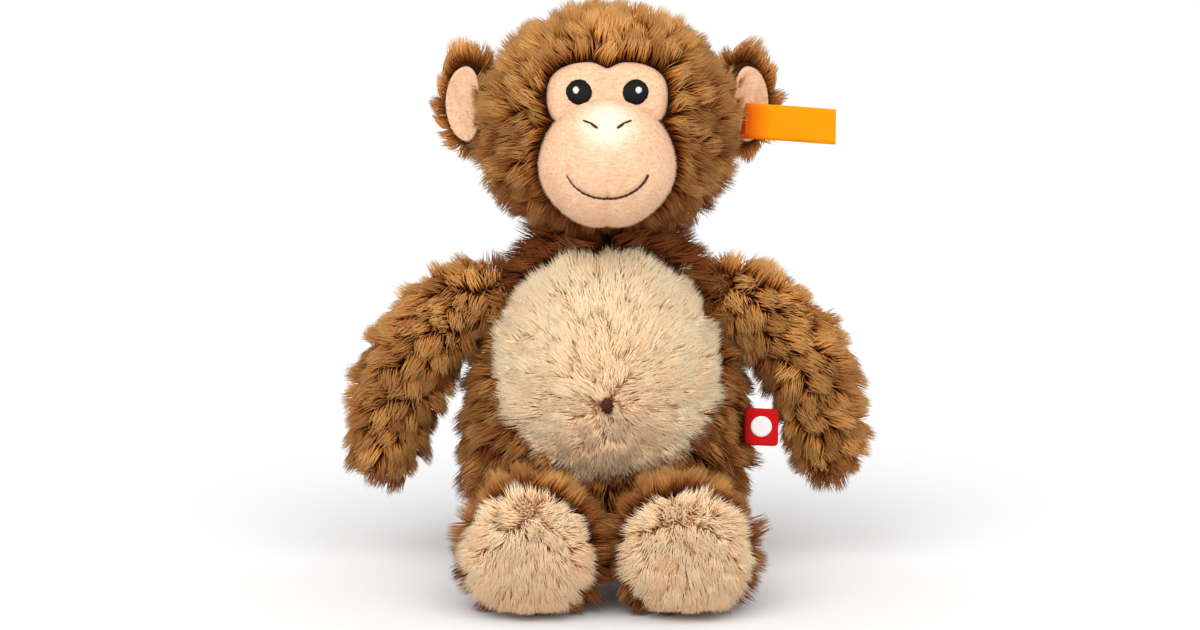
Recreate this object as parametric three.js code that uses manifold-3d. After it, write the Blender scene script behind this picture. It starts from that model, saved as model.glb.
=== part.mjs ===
// A seated soft toy monkey: sewn plush skins over a stuffed torso, head, arms and legs.
// Millimetres, +Z up. The origin is on the ground under the middle of the torso, the toy
// faces -Y, and its own left side is +X. Every skin panel is a separate solid, cut from the
// form it covers, and the surface stands for the middle of the pile.
import * as THREE from "three";
import { mergeVertices } from "three/addons/utils/BufferGeometryUtils.js";
import Module from "manifold-3d";

const wasm = await Module();
wasm.setup();

// ---- driving dimensions ----
const PLUSH = 4; // long-pile panel, backing and the lower half of its pile
const VELOUR = 2; // short-pile face panel
const SEAM = 0.4; // gap left between pieces that meet
const THREAD = 1; // closing thread, diameter
const FLAT = 0; // height of the ground

const NECK = { centre: [0, 0, 103], radius: 37, clearance: 2.6, ringAngle: 24, rise: 15 };
const TORSO = { centre: [0, 0, 62], half: [55, 46, 80], taper: 0.15, baseSeam: 6 };
const BELLY = { z: 86, halfWidth: 41, halfHeight: 41, border: 2.5 };
const NAVEL = { z: 72, radius: 3 };
const BAG = { half: [18, 16, 7] }; // pellet bag that weights the seat
const HEAD = { centre: [0, 0, 176], half: [49, 42, 44], taper: 0, gusset: 15 };
const MUZZLE = { half: [25, 22, 25], taper: 0, setBack: 6, low: 11 };
const MASK = { lobe: 11.8, rise: 11.4, tuck: 5, dip: 2.2, recess: 1.5 };
const EYE = { x: 10.9, above: 0.2, radius: 4.9, glint: 1, thick: 1 };
const STITCH = { width: 1.3, thick: 0.8 };
const NOSTRIL = { outer: [9.2, 17.9], inner: [3.7, 15.3] }; // from the muzzle's middle
const MOUTH = { half: 15.6, corner: -2.5, low: -11.7 }; // from the muzzle's middle

const SHOULDER = { out: 8.5, z: 107, radius: 14.5, clearance: 2.4, ring: 8 };
const ARM = { bend: [34.5, -12], tip: [38.5, -62], middle: 16, end: 13 };
const HIP = { out: 16.5, x: 25, z: 24, radius: 16.5, clearance: 2.2, ring: 7, splay: 7 };
const LEG = { foot: 24.8, length: 50, shin: 29, sole: 20.5 };

const EAR = { y: 4, z: 184, clearance: 2.6, out: 16, high: 33, plush: 3.5, velour: 1.6, turn: 40 };
const EAR_TAG = { width: 14, length: 37, fabric: 0.5, fold: 0.6, out: 2, forward: 2, low: 6 };
const TACK = { half: 4.9, wide: 1.5 }; // bar of stitches that holds the ear ribbon
const SIDE_TAG = { width: 13.5, height: 15, thick: 1, z: 57, y: -12, corner: 1.5, clearance: 1.2 };

const ROUND = 20; // facets round the torso, the head and the muzzle
const UPRIGHT = 0.64; // facets from pole to pole of a ball, for each one round it
const LIMB_ROUND = 12; // facets round an arm or a leg
const SEAT_ROUND = 26; // facets round the head's neck seat
const SOCKET_ROUND = 16; // facets round a shoulder or hip seat
const FAR = 400; // past every piece

// ---- materials ----
const cloth = (color, roughness = 0.95) => {
  return new THREE.MeshStandardMaterial({ color, roughness, metalness: 0 });
};
const brownPlush = cloth("#7d5428");
const peachPlush = cloth("#efbf93");
const peachVelour = cloth("#f3cda9", 0.9);
const blackThread = cloth("#141011", 0.6);
const whiteThread = cloth("#f4f2ee", 0.6);
const brownThread = cloth("#4b2a1c", 0.7);
const filling = cloth("#f2efe8", 1);
const bagCloth = cloth("#d9d2c2");
const yellowRibbon = cloth("#f8a80f", 0.5);
const redRibbon = cloth("#cf1f26", 0.55);

// ---- solids ----
const radians = THREE.MathUtils.degToRad;

// A closed three.js geometry as a solid that can be joined and cut.
function solid(geometry) {
  const source = geometry.index ? geometry : geometry.clone();
  source.deleteAttribute("normal");
  source.deleteAttribute("uv");
  const merged = mergeVertices(source, 1e-4);
  return new wasm.Manifold(
    new wasm.Mesh({
      numProp: 3,
      vertProperties: merged.attributes.position.array,
      triVerts: new Uint32Array(merged.index.array),
    }),
  );
}

function ball(centre, radius, facets = ROUND) {
  const sphere = new THREE.SphereGeometry(radius, facets, Math.round(facets * UPRIGHT));
  sphere.rotateX(Math.PI / 2).translate(...centre);
  return solid(sphere);
}

function block(low, high) {
  const size = high.map((value, axis) => value - low[axis]);
  const middle = high.map((value, axis) => (value + low[axis]) / 2);
  return solid(new THREE.BoxGeometry(...size).translate(...middle));
}

// An egg with its long axis upright; taper narrows the top and widens the bottom. After
// that, shape may move each of its points.
function egg({ centre, half, taper }, inset, facets = ROUND, shape = (point) => point) {
  const sphere = new THREE.SphereGeometry(1, facets, Math.round(facets * UPRIGHT));
  sphere.rotateX(Math.PI / 2);
  const points = sphere.attributes.position;
  for (let i = 0; i < points.count; i += 1) {
    const up = points.getZ(i);
    const width = 1 - taper * up;
    const point = new THREE.Vector3(
      centre[0] + points.getX(i) * (half[0] - inset) * width,
      centre[1] + points.getY(i) * (half[1] - inset) * width,
      centre[2] + up * (half[2] - inset),
    );
    const placed = shape(point);
    points.setXYZ(i, placed.x, placed.y, placed.z);
  }
  return solid(sphere);
}

// An outline in X and Z pushed from the front of the toy back to the depth given.
function frontPrism(shape, back = 0) {
  const prism = new THREE.ExtrudeGeometry(shape, {
    depth: FAR + back,
    bevelEnabled: false,
    curveSegments: 8,
  });
  return solid(prism.rotateX(Math.PI / 2).translate(0, back, 0));
}

function ellipse(x, z, halfWidth, halfHeight, points = 24) {
  const outline = [];
  for (let i = 0; i < points; i += 1) {
    const angle = (2 * Math.PI * i) / points;
    outline.push([x + halfWidth * Math.cos(angle), z + halfHeight * Math.sin(angle)]);
  }
  return new THREE.Shape(outline.map(([px, pz]) => new THREE.Vector2(px, pz)));
}

// The outline of a thread of the given width that follows a curve, with blunt ends.
function threadOutline(curve, width, steps) {
  const near = [];
  const far = [];
  for (let i = 0; i <= steps; i += 1) {
    const point = curve.getPoint(i / steps);
    const tangent = curve.getTangent(i / steps);
    const side = new THREE.Vector2(-tangent.y, tangent.x).multiplyScalar(width / 2);
    near.push(point.clone().sub(side));
    far.unshift(point.clone().add(side));
  }
  return new THREE.Shape([...near, ...far]);
}

const pieces = new THREE.Group();

function add(name, shape, material) {
  const mesh = shape.getMesh();
  const geometry = new THREE.BufferGeometry();
  geometry.setAttribute("position", new THREE.BufferAttribute(mesh.vertProperties.slice(), 3));
  geometry.setIndex(new THREE.BufferAttribute(mesh.triVerts.slice(), 1));
  geometry.computeVertexNormals();
  const piece = new THREE.Mesh(geometry, material);
  piece.name = name;
  pieces.add(piece);
}

const left = { name: "left", sign: 1 };
const right = { name: "right", sign: -1 };
const sides = [left, right];

// Half of space on the toy's left or right, short of the middle seam.
function sideSpace({ sign }) {
  const near = (sign * SEAM) / 2;
  const far = sign * FAR;
  return block([Math.min(near, far), -FAR, -FAR], [Math.max(near, far), FAR, FAR]);
}

// ---- torso ----
// How far out the torso's side is at a height and a depth, or its front at a width.
function torsoReach(z, across, outwards, sideways) {
  const up = (z - TORSO.centre[2]) / TORSO.half[2];
  const scale = Math.sqrt(1 - up ** 2) * (1 - TORSO.taper * up);
  const share = across / (TORSO.half[sideways] * scale);
  return TORSO.half[outwards] * scale * Math.sqrt(1 - share ** 2);
}

const torsoSide = (z, y) => torsoReach(z, y, 0, 1);
const torsoFront = (z, x) => torsoReach(z, x, 1, 0);
const shoulderX = torsoSide(SHOULDER.z, 0) + SHOULDER.out;
const hipY = -torsoFront(HIP.z, HIP.x) - HIP.out;
const shoulderCentre = ({ sign }) => [sign * shoulderX, 0, SHOULDER.z];
const hipCentre = ({ sign }) => [sign * HIP.x, hipY, HIP.z];

// The torso without its hollows: an egg drawn on to the neck ball at the top.
function plainTorso(inset) {
  const neck = new THREE.Vector3(...NECK.centre);
  const ontoNeck = (point) => {
    const share = THREE.MathUtils.smoothstep(point.z - neck.z, 0, NECK.rise);
    const onBall = point.clone().sub(neck).setLength(NECK.radius - inset).add(neck);
    return point.clone().lerp(onBall, share);
  };
  return egg(TORSO, inset, ROUND, ontoNeck);
}

// The torso inside its skin, with hollows for the shoulder and hip roots and a flat seat.
function torsoForm(inset) {
  let form = plainTorso(inset);
  for (const side of sides) {
    const shoulderSeat = SHOULDER.radius + SHOULDER.clearance + inset;
    const hipSeat = HIP.radius + HIP.clearance + inset;
    form = form.subtract(ball(shoulderCentre(side), shoulderSeat, SOCKET_ROUND));
    form = form.subtract(ball(hipCentre(side), hipSeat, SOCKET_ROUND));
  }
  return form.subtract(block([-FAR, -FAR, -FAR], [FAR, FAR, FLAT + inset]));
}

// Half the width of the front panels at a height, from the middle to the side seam.
function frontWidth(z) {
  const rise = z - NECK.centre[2];
  const share = THREE.MathUtils.smoothstep(rise, 0, NECK.rise);
  const onBall = Math.sqrt(Math.max(0, NECK.radius ** 2 - rise ** 2 - SIDE_TAG.y ** 2));
  return THREE.MathUtils.lerp(torsoSide(z, SIDE_TAG.y), onBall, share);
}

// The belly patch is an oval that keeps a border of plush between it and the side seams.
function bellyPrism(grow) {
  const oval = ellipse(0, BELLY.z, BELLY.halfWidth + grow, BELLY.halfHeight + grow);
  const points = oval.getPoints().map(({ x, y: z }) => {
    const most = frontWidth(z) - BELLY.border + grow;
    return new THREE.Vector2(THREE.MathUtils.clamp(x, -most, most), z);
  });
  return frontPrism(new THREE.Shape(points), SIDE_TAG.y - SEAM / 2);
}

const torsoSkin = torsoForm(0).subtract(torsoForm(PLUSH));
const seatHeight = TORSO.baseSeam;
const seatSpace = block([-FAR, -FAR, -FAR], [FAR, FAR, seatHeight - SEAM / 2]);
const overSeat = block([-FAR, -FAR, seatHeight + SEAM / 2], [FAR, FAR, FAR]);
add("torso_base", torsoSkin.intersect(seatSpace), brownPlush);
const bellySkin = torsoSkin.intersect(bellyPrism(0)).subtract(plainTorso(PLUSH));
add("belly_patch", bellySkin.intersect(overSeat), peachPlush);

const frontSpace = block([-FAR, -FAR, -FAR], [FAR, SIDE_TAG.y - SEAM / 2, FAR]);
const backSpace = block([-FAR, SIDE_TAG.y + SEAM / 2, -FAR], [FAR, FAR, FAR]);
const torsoWrap = torsoSkin.intersect(overSeat).subtract(bellyPrism(SEAM));
for (const side of sides) {
  const half = torsoWrap.intersect(sideSpace(side));
  add(`torso_front_${side.name}`, half.intersect(frontSpace), brownPlush);
  add(`torso_back_${side.name}`, half.intersect(backSpace), brownPlush);
}

const navelBall = ball([0, -torsoFront(NAVEL.z, 0), NAVEL.z], NAVEL.radius, 12);
const navelRound = frontPrism(ellipse(0, NAVEL.z, NAVEL.radius, NAVEL.radius, 12));
add(
  "navel_knot",
  navelBall.intersect(navelRound).subtract(torsoForm(-SEAM)),
  brownThread,
);

const bagMiddle = PLUSH + 2 * SEAM + BAG.half[2];
const bag = (grow) => egg({ centre: [0, 0, bagMiddle], half: BAG.half, taper: 0 }, -grow, 16);
const bagWay = new THREE.CylinderGeometry(1, 1, bagMiddle, 16).rotateX(Math.PI / 2);
bagWay.scale(BAG.half[0] + SEAM, BAG.half[1] + SEAM, 1).translate(0, 0, bagMiddle / 2);
add("torso_stuffing", torsoForm(PLUSH + SEAM).subtract(bag(SEAM)).subtract(solid(bagWay)), filling);
add("seat_pellet_bag", bag(0), bagCloth);

// ---- head ----
const neckSeat = NECK.radius + NECK.clearance;

function headForm(inset) {
  return egg(HEAD, inset).subtract(ball(NECK.centre, neckSeat + inset, SEAT_ROUND));
}

const muzzleCentre = [0, MUZZLE.setBack - HEAD.half[1], HEAD.centre[2] - MUZZLE.low];
const muzzleForm = (inset) => egg({ ...MUZZLE, centre: muzzleCentre }, inset);
const muzzleRise = MUZZLE.half[2] * Math.sqrt(1 - (EYE.x / MUZZLE.half[0]) ** 2);
const eyeHeight = muzzleCentre[2] + muzzleRise + EYE.above + EYE.radius;

// The eye panel's outline: two rounded lobes with a shallow dip between them.
function maskOutline(grow) {
  const { lobe, dip } = MASK;
  const foot = MUZZLE.half[0] - MASK.tuck;
  const wide = EYE.x + lobe + grow;
  const high = eyeHeight + MASK.rise + grow;
  const low = muzzleCentre[2];
  const outline = new THREE.Shape();
  outline.moveTo(foot + grow, low);
  outline.bezierCurveTo(foot + grow, eyeHeight - lobe, wide, eyeHeight - lobe / 2, wide, eyeHeight);
  outline.bezierCurveTo(wide, high - lobe / 2.2, wide - lobe / 2.2, high, EYE.x, high);
  outline.quadraticCurveTo(EYE.x / 2, high, 0, high - dip);
  outline.quadraticCurveTo(-EYE.x / 2, high, -EYE.x, high);
  outline.bezierCurveTo(lobe / 2.2 - wide, high, -wide, high - lobe / 2.2, -wide, eyeHeight);
  outline.bezierCurveTo(-wide, eyeHeight - lobe / 2, -foot - grow, eyeHeight - lobe, -foot - grow, low);
  outline.closePath();
  return outline;
}

const maskPrism = (grow) => frontPrism(maskOutline(grow));
const headSkin = headForm(0).subtract(headForm(PLUSH));
const headWrap = headSkin.subtract(maskPrism(SEAM)).subtract(muzzleForm(-SEAM));

// The gusset runs from the eye panel over the crown and down the nape.
function gussetSpace(grow) {
  const wide = HEAD.gusset + grow;
  const middle = HEAD.centre[2];
  const crown = block([-wide, -FAR, middle + SEAM / 2 - grow], [wide, FAR, FAR]);
  return crown.add(block([-wide, SEAM / 2 - grow, -FAR], [wide, FAR, FAR]));
}

add("head_gusset", headWrap.intersect(gussetSpace(0)), brownPlush);
for (const side of sides) {
  const panel = headWrap.subtract(gussetSpace(SEAM)).intersect(sideSpace(side));
  add(`head_side_${side.name}`, panel, brownPlush);
}

const maskSkin = headForm(MASK.recess).subtract(headForm(PLUSH));
const maskPanel = maskSkin.intersect(maskPrism(0)).subtract(muzzleForm(-SEAM));
add("eye_panel", maskPanel, peachVelour);

const muzzleSkin = muzzleForm(0).subtract(muzzleForm(VELOUR)).subtract(headForm(PLUSH));
for (const side of sides) {
  add(`muzzle_${side.name}`, muzzleSkin.intersect(sideSpace(side)), peachVelour);
}
const headFill = headForm(PLUSH + SEAM).add(muzzleForm(VELOUR + SEAM));
add("head_stuffing", headFill, filling);

// ---- embroidery on the face ----
// A flat patch of thread that lies on the front of a form, a seam's gap above its skin.
function embroidery(form, skin, thick, outline, back = 0) {
  const under = form(skin - SEAM);
  return form(skin - SEAM - thick).subtract(under).intersect(frontPrism(outline, back));
}

const muzzleStitch = (outline) => {
  return embroidery(muzzleForm, 0, STITCH.thick, outline, muzzleCentre[1]);
};
const onMuzzle = (x, z) => new THREE.Vector2(x, muzzleCentre[2] + z);

for (const { name, sign } of sides) {
  const eye = ellipse(sign * EYE.x, eyeHeight, EYE.radius, EYE.radius, 20);
  add(`eye_${name}`, embroidery(headForm, MASK.recess, EYE.thick, eye), blackThread);
  const glintX = sign * EYE.x - EYE.glint * 0.6;
  const glintZ = eyeHeight + EYE.radius / 3;
  const glint = ellipse(glintX, glintZ, EYE.glint, EYE.glint * 1.2, 10);
  const glintSkin = MASK.recess - SEAM - EYE.thick;
  add(`eye_glint_${name}`, embroidery(headForm, glintSkin, STITCH.thick / 2, glint), whiteThread);
  const nostril = new THREE.LineCurve(
    onMuzzle(sign * NOSTRIL.outer[0], NOSTRIL.outer[1]),
    onMuzzle(sign * NOSTRIL.inner[0], NOSTRIL.inner[1]),
  );
  const nostrilLine = threadOutline(nostril, STITCH.width, 2);
  add(`nostril_${name}`, muzzleStitch(nostrilLine), brownThread);
}
const smile = new THREE.QuadraticBezierCurve(
  onMuzzle(-MOUTH.half, MOUTH.corner),
  onMuzzle(0, 2 * MOUTH.low - MOUTH.corner),
  onMuzzle(MOUTH.half, MOUTH.corner),
);
const smileLine = threadOutline(smile, STITCH.width, 14);
add("mouth_stitch", muzzleStitch(smileLine), brownThread);

// ---- closing threads ----
// A ring of thread in the clearance round a ball root, square to the direction given.
function closingThread(centre, rootRadius, clearance, ringRadius, direction) {
  const reach = Math.sqrt((rootRadius + clearance / 2) ** 2 - ringRadius ** 2);
  const ring = new THREE.TorusGeometry(ringRadius, THREAD / 2, 6, 14);
  const turn = new THREE.Quaternion().setFromUnitVectors(new THREE.Vector3(0, 0, 1), direction);
  ring.applyQuaternion(turn);
  ring.translate(...centre.map((value, axis) => value + reach * direction.getComponent(axis)));
  return solid(ring);
}

const neckRing = (NECK.radius + NECK.clearance / 2) * Math.sin(radians(NECK.ringAngle));
const upward = new THREE.Vector3(0, 0, 1);
const neckThread = closingThread(NECK.centre, NECK.radius, NECK.clearance, neckRing, upward);
add("neck_thread", neckThread, brownThread);

// ---- limbs ----
// Moves a shape made upright along Y onto a limb; place gives the point of the toy for a
// distance across the limb, along it and through it.
function onLimb(geometry, place) {
  const position = geometry.attributes.position;
  for (let i = 0; i < position.count; i += 1) {
    const spot = place(position.getX(i), position.getY(i), position.getZ(i));
    position.setXYZ(i, spot.x, spot.y, spot.z);
  }
  return solid(geometry);
}

// A round limb from pairs of a radius and a distance along it.
function limb(profile, place) {
  const points = profile.map(([radius, along]) => new THREE.Vector2(radius, along));
  return onLimb(new THREE.LatheGeometry(points, LIMB_ROUND), place);
}

// Radius and distance pairs for a capsule: a ball root, a body and a ball end.
function capsule(root, middle, end, length, inset) {
  const profile = [];
  const steps = 4;
  for (let i = 0; i <= steps; i += 1) {
    const angle = (Math.PI / 2) * (i / steps);
    profile.push([(root - inset) * Math.sin(angle), (inset - root) * Math.cos(angle)]);
  }
  for (const share of [0.25, 0.5, 0.75]) {
    const swell = THREE.MathUtils.lerp(root, end, share);
    const bulge = (middle - (root + end) / 2) * Math.sin(Math.PI * share);
    profile.push([swell + bulge - inset, length * share]);
  }
  for (let i = 0; i <= steps; i += 1) {
    const angle = (Math.PI / 2) * (1 - i / steps);
    const along = length + (end - inset) * Math.cos(angle);
    profile.push([(end - inset) * Math.sin(angle), along]);
  }
  profile[0][0] = 0;
  profile[profile.length - 1][0] = 0;
  return profile;
}

// ---- arms ----
for (const side of sides) {
  const { name, sign } = side;
  const root = shoulderCentre(side);
  const path = new THREE.QuadraticBezierCurve3(
    new THREE.Vector3(...root),
    new THREE.Vector3(root[0] + sign * ARM.bend[0], 0, root[2] + ARM.bend[1]),
    new THREE.Vector3(root[0] + sign * ARM.tip[0], 0, root[2] + ARM.tip[1]),
  );
  const length = path.getLength();
  const place = (across, along, depth) => {
    const share = THREE.MathUtils.clamp(along / length, 0, 1);
    const tangent = path.getTangentAt(share);
    const over = new THREE.Vector3(0, 1, 0).cross(tangent);
    const spot = path.getPointAt(share).addScaledVector(tangent, along - share * length);
    return spot.addScaledVector(over, across).add(new THREE.Vector3(0, -depth, 0));
  };
  const armForm = (inset) => {
    return limb(capsule(SHOULDER.radius, ARM.middle, ARM.end, length, inset), place);
  };
  const skin = armForm(0).subtract(armForm(PLUSH));
  const front = block([-FAR, -FAR, -FAR], [FAR, -SEAM / 2, FAR]);
  const back = block([-FAR, SEAM / 2, -FAR], [FAR, FAR, FAR]);
  add(`arm_${name}_front_panel`, skin.intersect(front), brownPlush);
  add(`arm_${name}_back_panel`, skin.intersect(back), brownPlush);
  add(`arm_${name}_stuffing`, armForm(PLUSH + SEAM), filling);
  const inward = new THREE.Vector3(-sign, 0, 0);
  const { radius, clearance, ring } = SHOULDER;
  const thread = closingThread(root, radius, clearance, ring, inward);
  add(`shoulder_thread_${name}`, thread, brownThread);
}

// ---- legs ----
// The foot swells from the hip root to a round sole.
function legProfile(inset) {
  const { foot, length, shin, sole } = LEG;
  const root = HIP.radius;
  const outline = [
    [root * 0.71, -root * 0.71],
    [root, 0],
    [root * 1.06, shin * 0.28],
    [(root + foot) / 2, shin * 0.6],
    [foot, shin],
    [foot, shin + (length - shin) * 0.4],
    [foot * 0.95, shin + (length - shin) * 0.7],
    [sole, length - 2],
    [sole * 0.6, length - 0.4],
  ];
  const shrunk = outline.map(([radius, along]) => {
    const middle = shin * 0.8;
    const share = (along - middle) / (length - middle);
    const inwards = along > middle ? inset * share : inset * Math.min(1, (middle - along) / middle) * -1;
    return [radius - inset, along - inwards];
  });
  return [[0, -root + inset], ...shrunk, [0, length - inset]];
}

for (const side of sides) {
  const { name, sign } = side;
  const root = new THREE.Vector3(...hipCentre(side));
  const splay = radians(HIP.splay) * sign;
  const forward = new THREE.Vector3(Math.sin(splay), -Math.cos(splay), 0);
  const across = new THREE.Vector3(Math.cos(splay), Math.sin(splay), 0);
  const place = (wide, along, low) => {
    const spot = root.clone().addScaledVector(forward, along).addScaledVector(across, wide);
    return spot.add(new THREE.Vector3(0, 0, -low));
  };
  const ground = (inset) => block([-FAR, -FAR, -FAR], [FAR, FAR, FLAT + inset]);
  const legForm = (inset) => limb(legProfile(inset), place).subtract(ground(inset));
  const solePrism = (grow) => {
    const disc = new THREE.CylinderGeometry(LEG.sole + grow, LEG.sole + grow, LEG.length, 18);
    return onLimb(disc.translate(0, LEG.length, 0), place);
  };
  const skin = legForm(0).subtract(legForm(PLUSH));
  const wrap = skin.subtract(solePrism(SEAM));
  const upper = block([-FAR, -FAR, HIP.z + SEAM / 2], [FAR, FAR, FAR]);
  const under = block([-FAR, -FAR, -FAR], [FAR, FAR, HIP.z - SEAM / 2]);
  add(`leg_${name}_upper_panel`, wrap.intersect(upper), brownPlush);
  add(`leg_${name}_under_panel`, wrap.intersect(under), brownPlush);
  add(`leg_${name}_sole`, skin.intersect(solePrism(0)), peachPlush);
  add(`leg_${name}_stuffing`, legForm(PLUSH + SEAM), filling);
  const backward = new THREE.Vector3(0, 1, 0);
  const thread = closingThread(hipCentre(side), HIP.radius, HIP.clearance, HIP.ring, backward);
  add(`hip_thread_${name}`, thread, brownThread);
}

// ---- ears ----
const earRoot = [HEAD.half[0] + EAR.clearance, EAR.y, EAR.z];
for (const { name, sign } of sides) {
  const { out, high, plush, velour, turn } = EAR;
  const outline = new THREE.Shape();
  outline.moveTo(0, -high * 0.36);
  outline.bezierCurveTo(out * 0.3, -high * 0.62, out, -high * 0.55, out, -high * 0.05);
  outline.bezierCurveTo(out, high * 0.45, out * 0.45, high * 0.68, 0, high * 0.42);
  outline.closePath();
  const leaf = (thick, offset) => {
    const slab = new THREE.ExtrudeGeometry(outline, {
      depth: thick,
      bevelEnabled: false,
      curveSegments: 9,
    });
    slab.translate(0, 0, offset).rotateX(Math.PI / 2).rotateZ(radians(turn));
    slab.translate(...earRoot);
    return slab;
  };
  // the right ear is the left one seen in a mirror, so its faces are turned back outwards
  const placed = (geometry) => {
    const shape = solid(geometry);
    return sign > 0 ? shape : shape.mirror([1, 0, 0]);
  };
  add(`ear_${name}_back`, placed(leaf(plush, -plush)), brownPlush);
  add(`ear_${name}_lining`, placed(leaf(velour, SEAM)), peachVelour);
}

// ---- tags ----
const layer = EAR_TAG.fabric;
const tagThick = 2 * layer + EAR_TAG.fold;
const ribbon = new THREE.Shape();
ribbon.moveTo(0, 0);
ribbon.lineTo(EAR_TAG.length, 0);
ribbon.lineTo(EAR_TAG.length, tagThick);
ribbon.lineTo(0, tagThick);
ribbon.lineTo(0, tagThick - layer);
ribbon.lineTo(EAR_TAG.length - layer, tagThick - layer);
ribbon.lineTo(EAR_TAG.length - layer, layer);
ribbon.lineTo(0, layer);
ribbon.closePath();
const ribbonBody = new THREE.ExtrudeGeometry(ribbon, { depth: EAR_TAG.width, bevelEnabled: false });
const tagX = earRoot[0] + EAR_TAG.out;
const tagY = earRoot[1] - (EAR.velour + SEAM) / Math.cos(radians(EAR.turn)) - EAR_TAG.forward;
const tagZ = earRoot[2] - EAR_TAG.low;
ribbonBody.translate(tagX, tagY - tagThick, tagZ - EAR_TAG.width / 2);
add("ear_tag_ribbon", solid(ribbonBody), yellowRibbon);
const tackFront = tagY - tagThick - SEAM;
const tack = block(
  [tagX + THREAD, tackFront - THREAD, tagZ - TACK.half],
  [tagX + THREAD + TACK.wide, tackFront, tagZ + TACK.half],
);
add("ear_tag_stitch", tack, whiteThread);

const labelOut = torsoSide(SIDE_TAG.z, SIDE_TAG.y) + SIDE_TAG.clearance;
const label = new THREE.Shape();
const { width: labelWide, height: labelHigh, corner } = SIDE_TAG;
label.moveTo(0, -labelHigh / 2);
label.lineTo(labelWide - corner, -labelHigh / 2);
label.quadraticCurveTo(labelWide, -labelHigh / 2, labelWide, corner - labelHigh / 2);
label.lineTo(labelWide, labelHigh / 2 - corner);
label.quadraticCurveTo(labelWide, labelHigh / 2, labelWide - corner, labelHigh / 2);
label.lineTo(0, labelHigh / 2);
label.closePath();
const labelBody = new THREE.ExtrudeGeometry(label, {
  depth: SIDE_TAG.thick,
  bevelEnabled: false,
  curveSegments: 3,
});
labelBody.rotateX(Math.PI / 2).translate(labelOut, SIDE_TAG.y + SIDE_TAG.thick / 2, SIDE_TAG.z);
add("side_tag_label", solid(labelBody), redRibbon);

export default pieces;
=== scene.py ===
# %% [markdown]
# # A seated plush monkey
#
# The finished toy is sewn from long-pile brown plush, long silky peach plush and short
# peach velour, and stuffed with fibre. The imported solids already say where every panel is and
# how it moves. This lesson dresses them: first the stuffed skins, then the pile that grows
# on them, then the face, the ears and the tags.
#
# The first cell loads the solids. They stay where they are, and each new piece is made in the
# same space, in metres.

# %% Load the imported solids
import math

import bmesh
import bpy
import numpy as np
from mathutils import Matrix, Vector
from mathutils.bvhtree import BVHTree


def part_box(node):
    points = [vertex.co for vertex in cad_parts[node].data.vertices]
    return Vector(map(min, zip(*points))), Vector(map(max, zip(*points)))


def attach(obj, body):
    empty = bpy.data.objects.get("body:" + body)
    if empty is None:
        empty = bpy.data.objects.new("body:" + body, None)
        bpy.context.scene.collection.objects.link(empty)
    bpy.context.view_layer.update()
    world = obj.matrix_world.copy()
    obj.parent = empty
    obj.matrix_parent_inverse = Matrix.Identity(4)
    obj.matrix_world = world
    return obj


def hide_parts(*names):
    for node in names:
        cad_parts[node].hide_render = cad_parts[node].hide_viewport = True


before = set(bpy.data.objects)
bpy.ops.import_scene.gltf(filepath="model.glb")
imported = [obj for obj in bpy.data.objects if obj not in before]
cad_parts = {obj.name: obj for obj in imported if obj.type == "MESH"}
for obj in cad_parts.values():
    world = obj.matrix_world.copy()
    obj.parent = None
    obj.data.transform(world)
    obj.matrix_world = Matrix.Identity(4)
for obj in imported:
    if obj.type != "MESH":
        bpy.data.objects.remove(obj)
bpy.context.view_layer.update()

MM = 0.001

# %% [markdown]
# ## Camera and light
#
# A toy this size is looked at from a little above, with a long lens so that the near feet
# don't swell. The light is a bright, even sky, two wide soft suns high in front to the left
# and to the right, and a weaker one low in front. The sky fills the hollows between the locks,
# the high suns pick out their tips, and the low one lights the lap and the soles. Lamps would
# fade with distance, but a sun is as strong far off as near, so the white floor stays white
# right to its end.

# %% Camera
LENS = 97.5
AIM = Vector((-2.8, 0, 100)) * MM
DISTANCE = 1.30
ELEVATION = math.radians(9)


def look(obj, place, target):
    obj.location = place
    obj.rotation_euler = (target - place).to_track_quat("-Z", "Y").to_euler()


scene = bpy.context.scene
camera = bpy.data.objects.new("camera", bpy.data.cameras.new("camera"))
camera.data.lens = LENS
camera.data.clip_start, camera.data.clip_end = 0.05, 20
back_and_up = Vector((0, -math.cos(ELEVATION), math.sin(ELEVATION)))
look(camera, AIM + back_and_up * DISTANCE, AIM)
scene.collection.objects.link(camera)
scene.camera = camera
print("camera at", [round(v, 3) for v in camera.location])

# %% Sky and suns
SKY = 0.78
SUN_WIDTH = math.radians(44)
SUNS = {
    "left": ((-0.62, -0.95, 1.25), 1.2),
    "right": ((0.62, -0.95, 1.25), 0.85),
    "front": ((0, -1, 0.3), 0.7),
}
CHEST = Vector((0, 0, 110)) * MM

scene.view_settings.view_transform = "Standard"
sky = bpy.data.worlds.new("sky")
sky.use_nodes = True
background = sky.node_tree.nodes["Background"]
background.inputs["Color"].default_value = (1, 1, 1, 1)
background.inputs["Strength"].default_value = SKY
scene.world = sky
for side, (place, strength) in SUNS.items():
    data = bpy.data.lights.new("sun_" + side, "SUN")
    data.energy, data.angle = strength, SUN_WIDTH
    sun = bpy.data.objects.new("sun_" + side, data)
    look(sun, Vector(place), CHEST)
    scene.collection.objects.link(sun)

# %% [markdown]
# ## Finishes
#
# Each finish is one Principled shader. What is the same all over, such as roughness or
# sheen, is set on the shader's own socket, and only the colour and the bump are wired. The
# helpers below make a finish, add a node with its values, and add the few kinds of node that
# nearly every finish needs.


# %% Helpers for finishes
def colour(red, green, blue):
    """A colour as it looks on screen, 0 to 255, as the shader wants it."""
    linear = [((c / 255 + 0.055) / 1.055) ** 2.4 for c in (red, green, blue)]
    return (*linear, 1)


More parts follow.
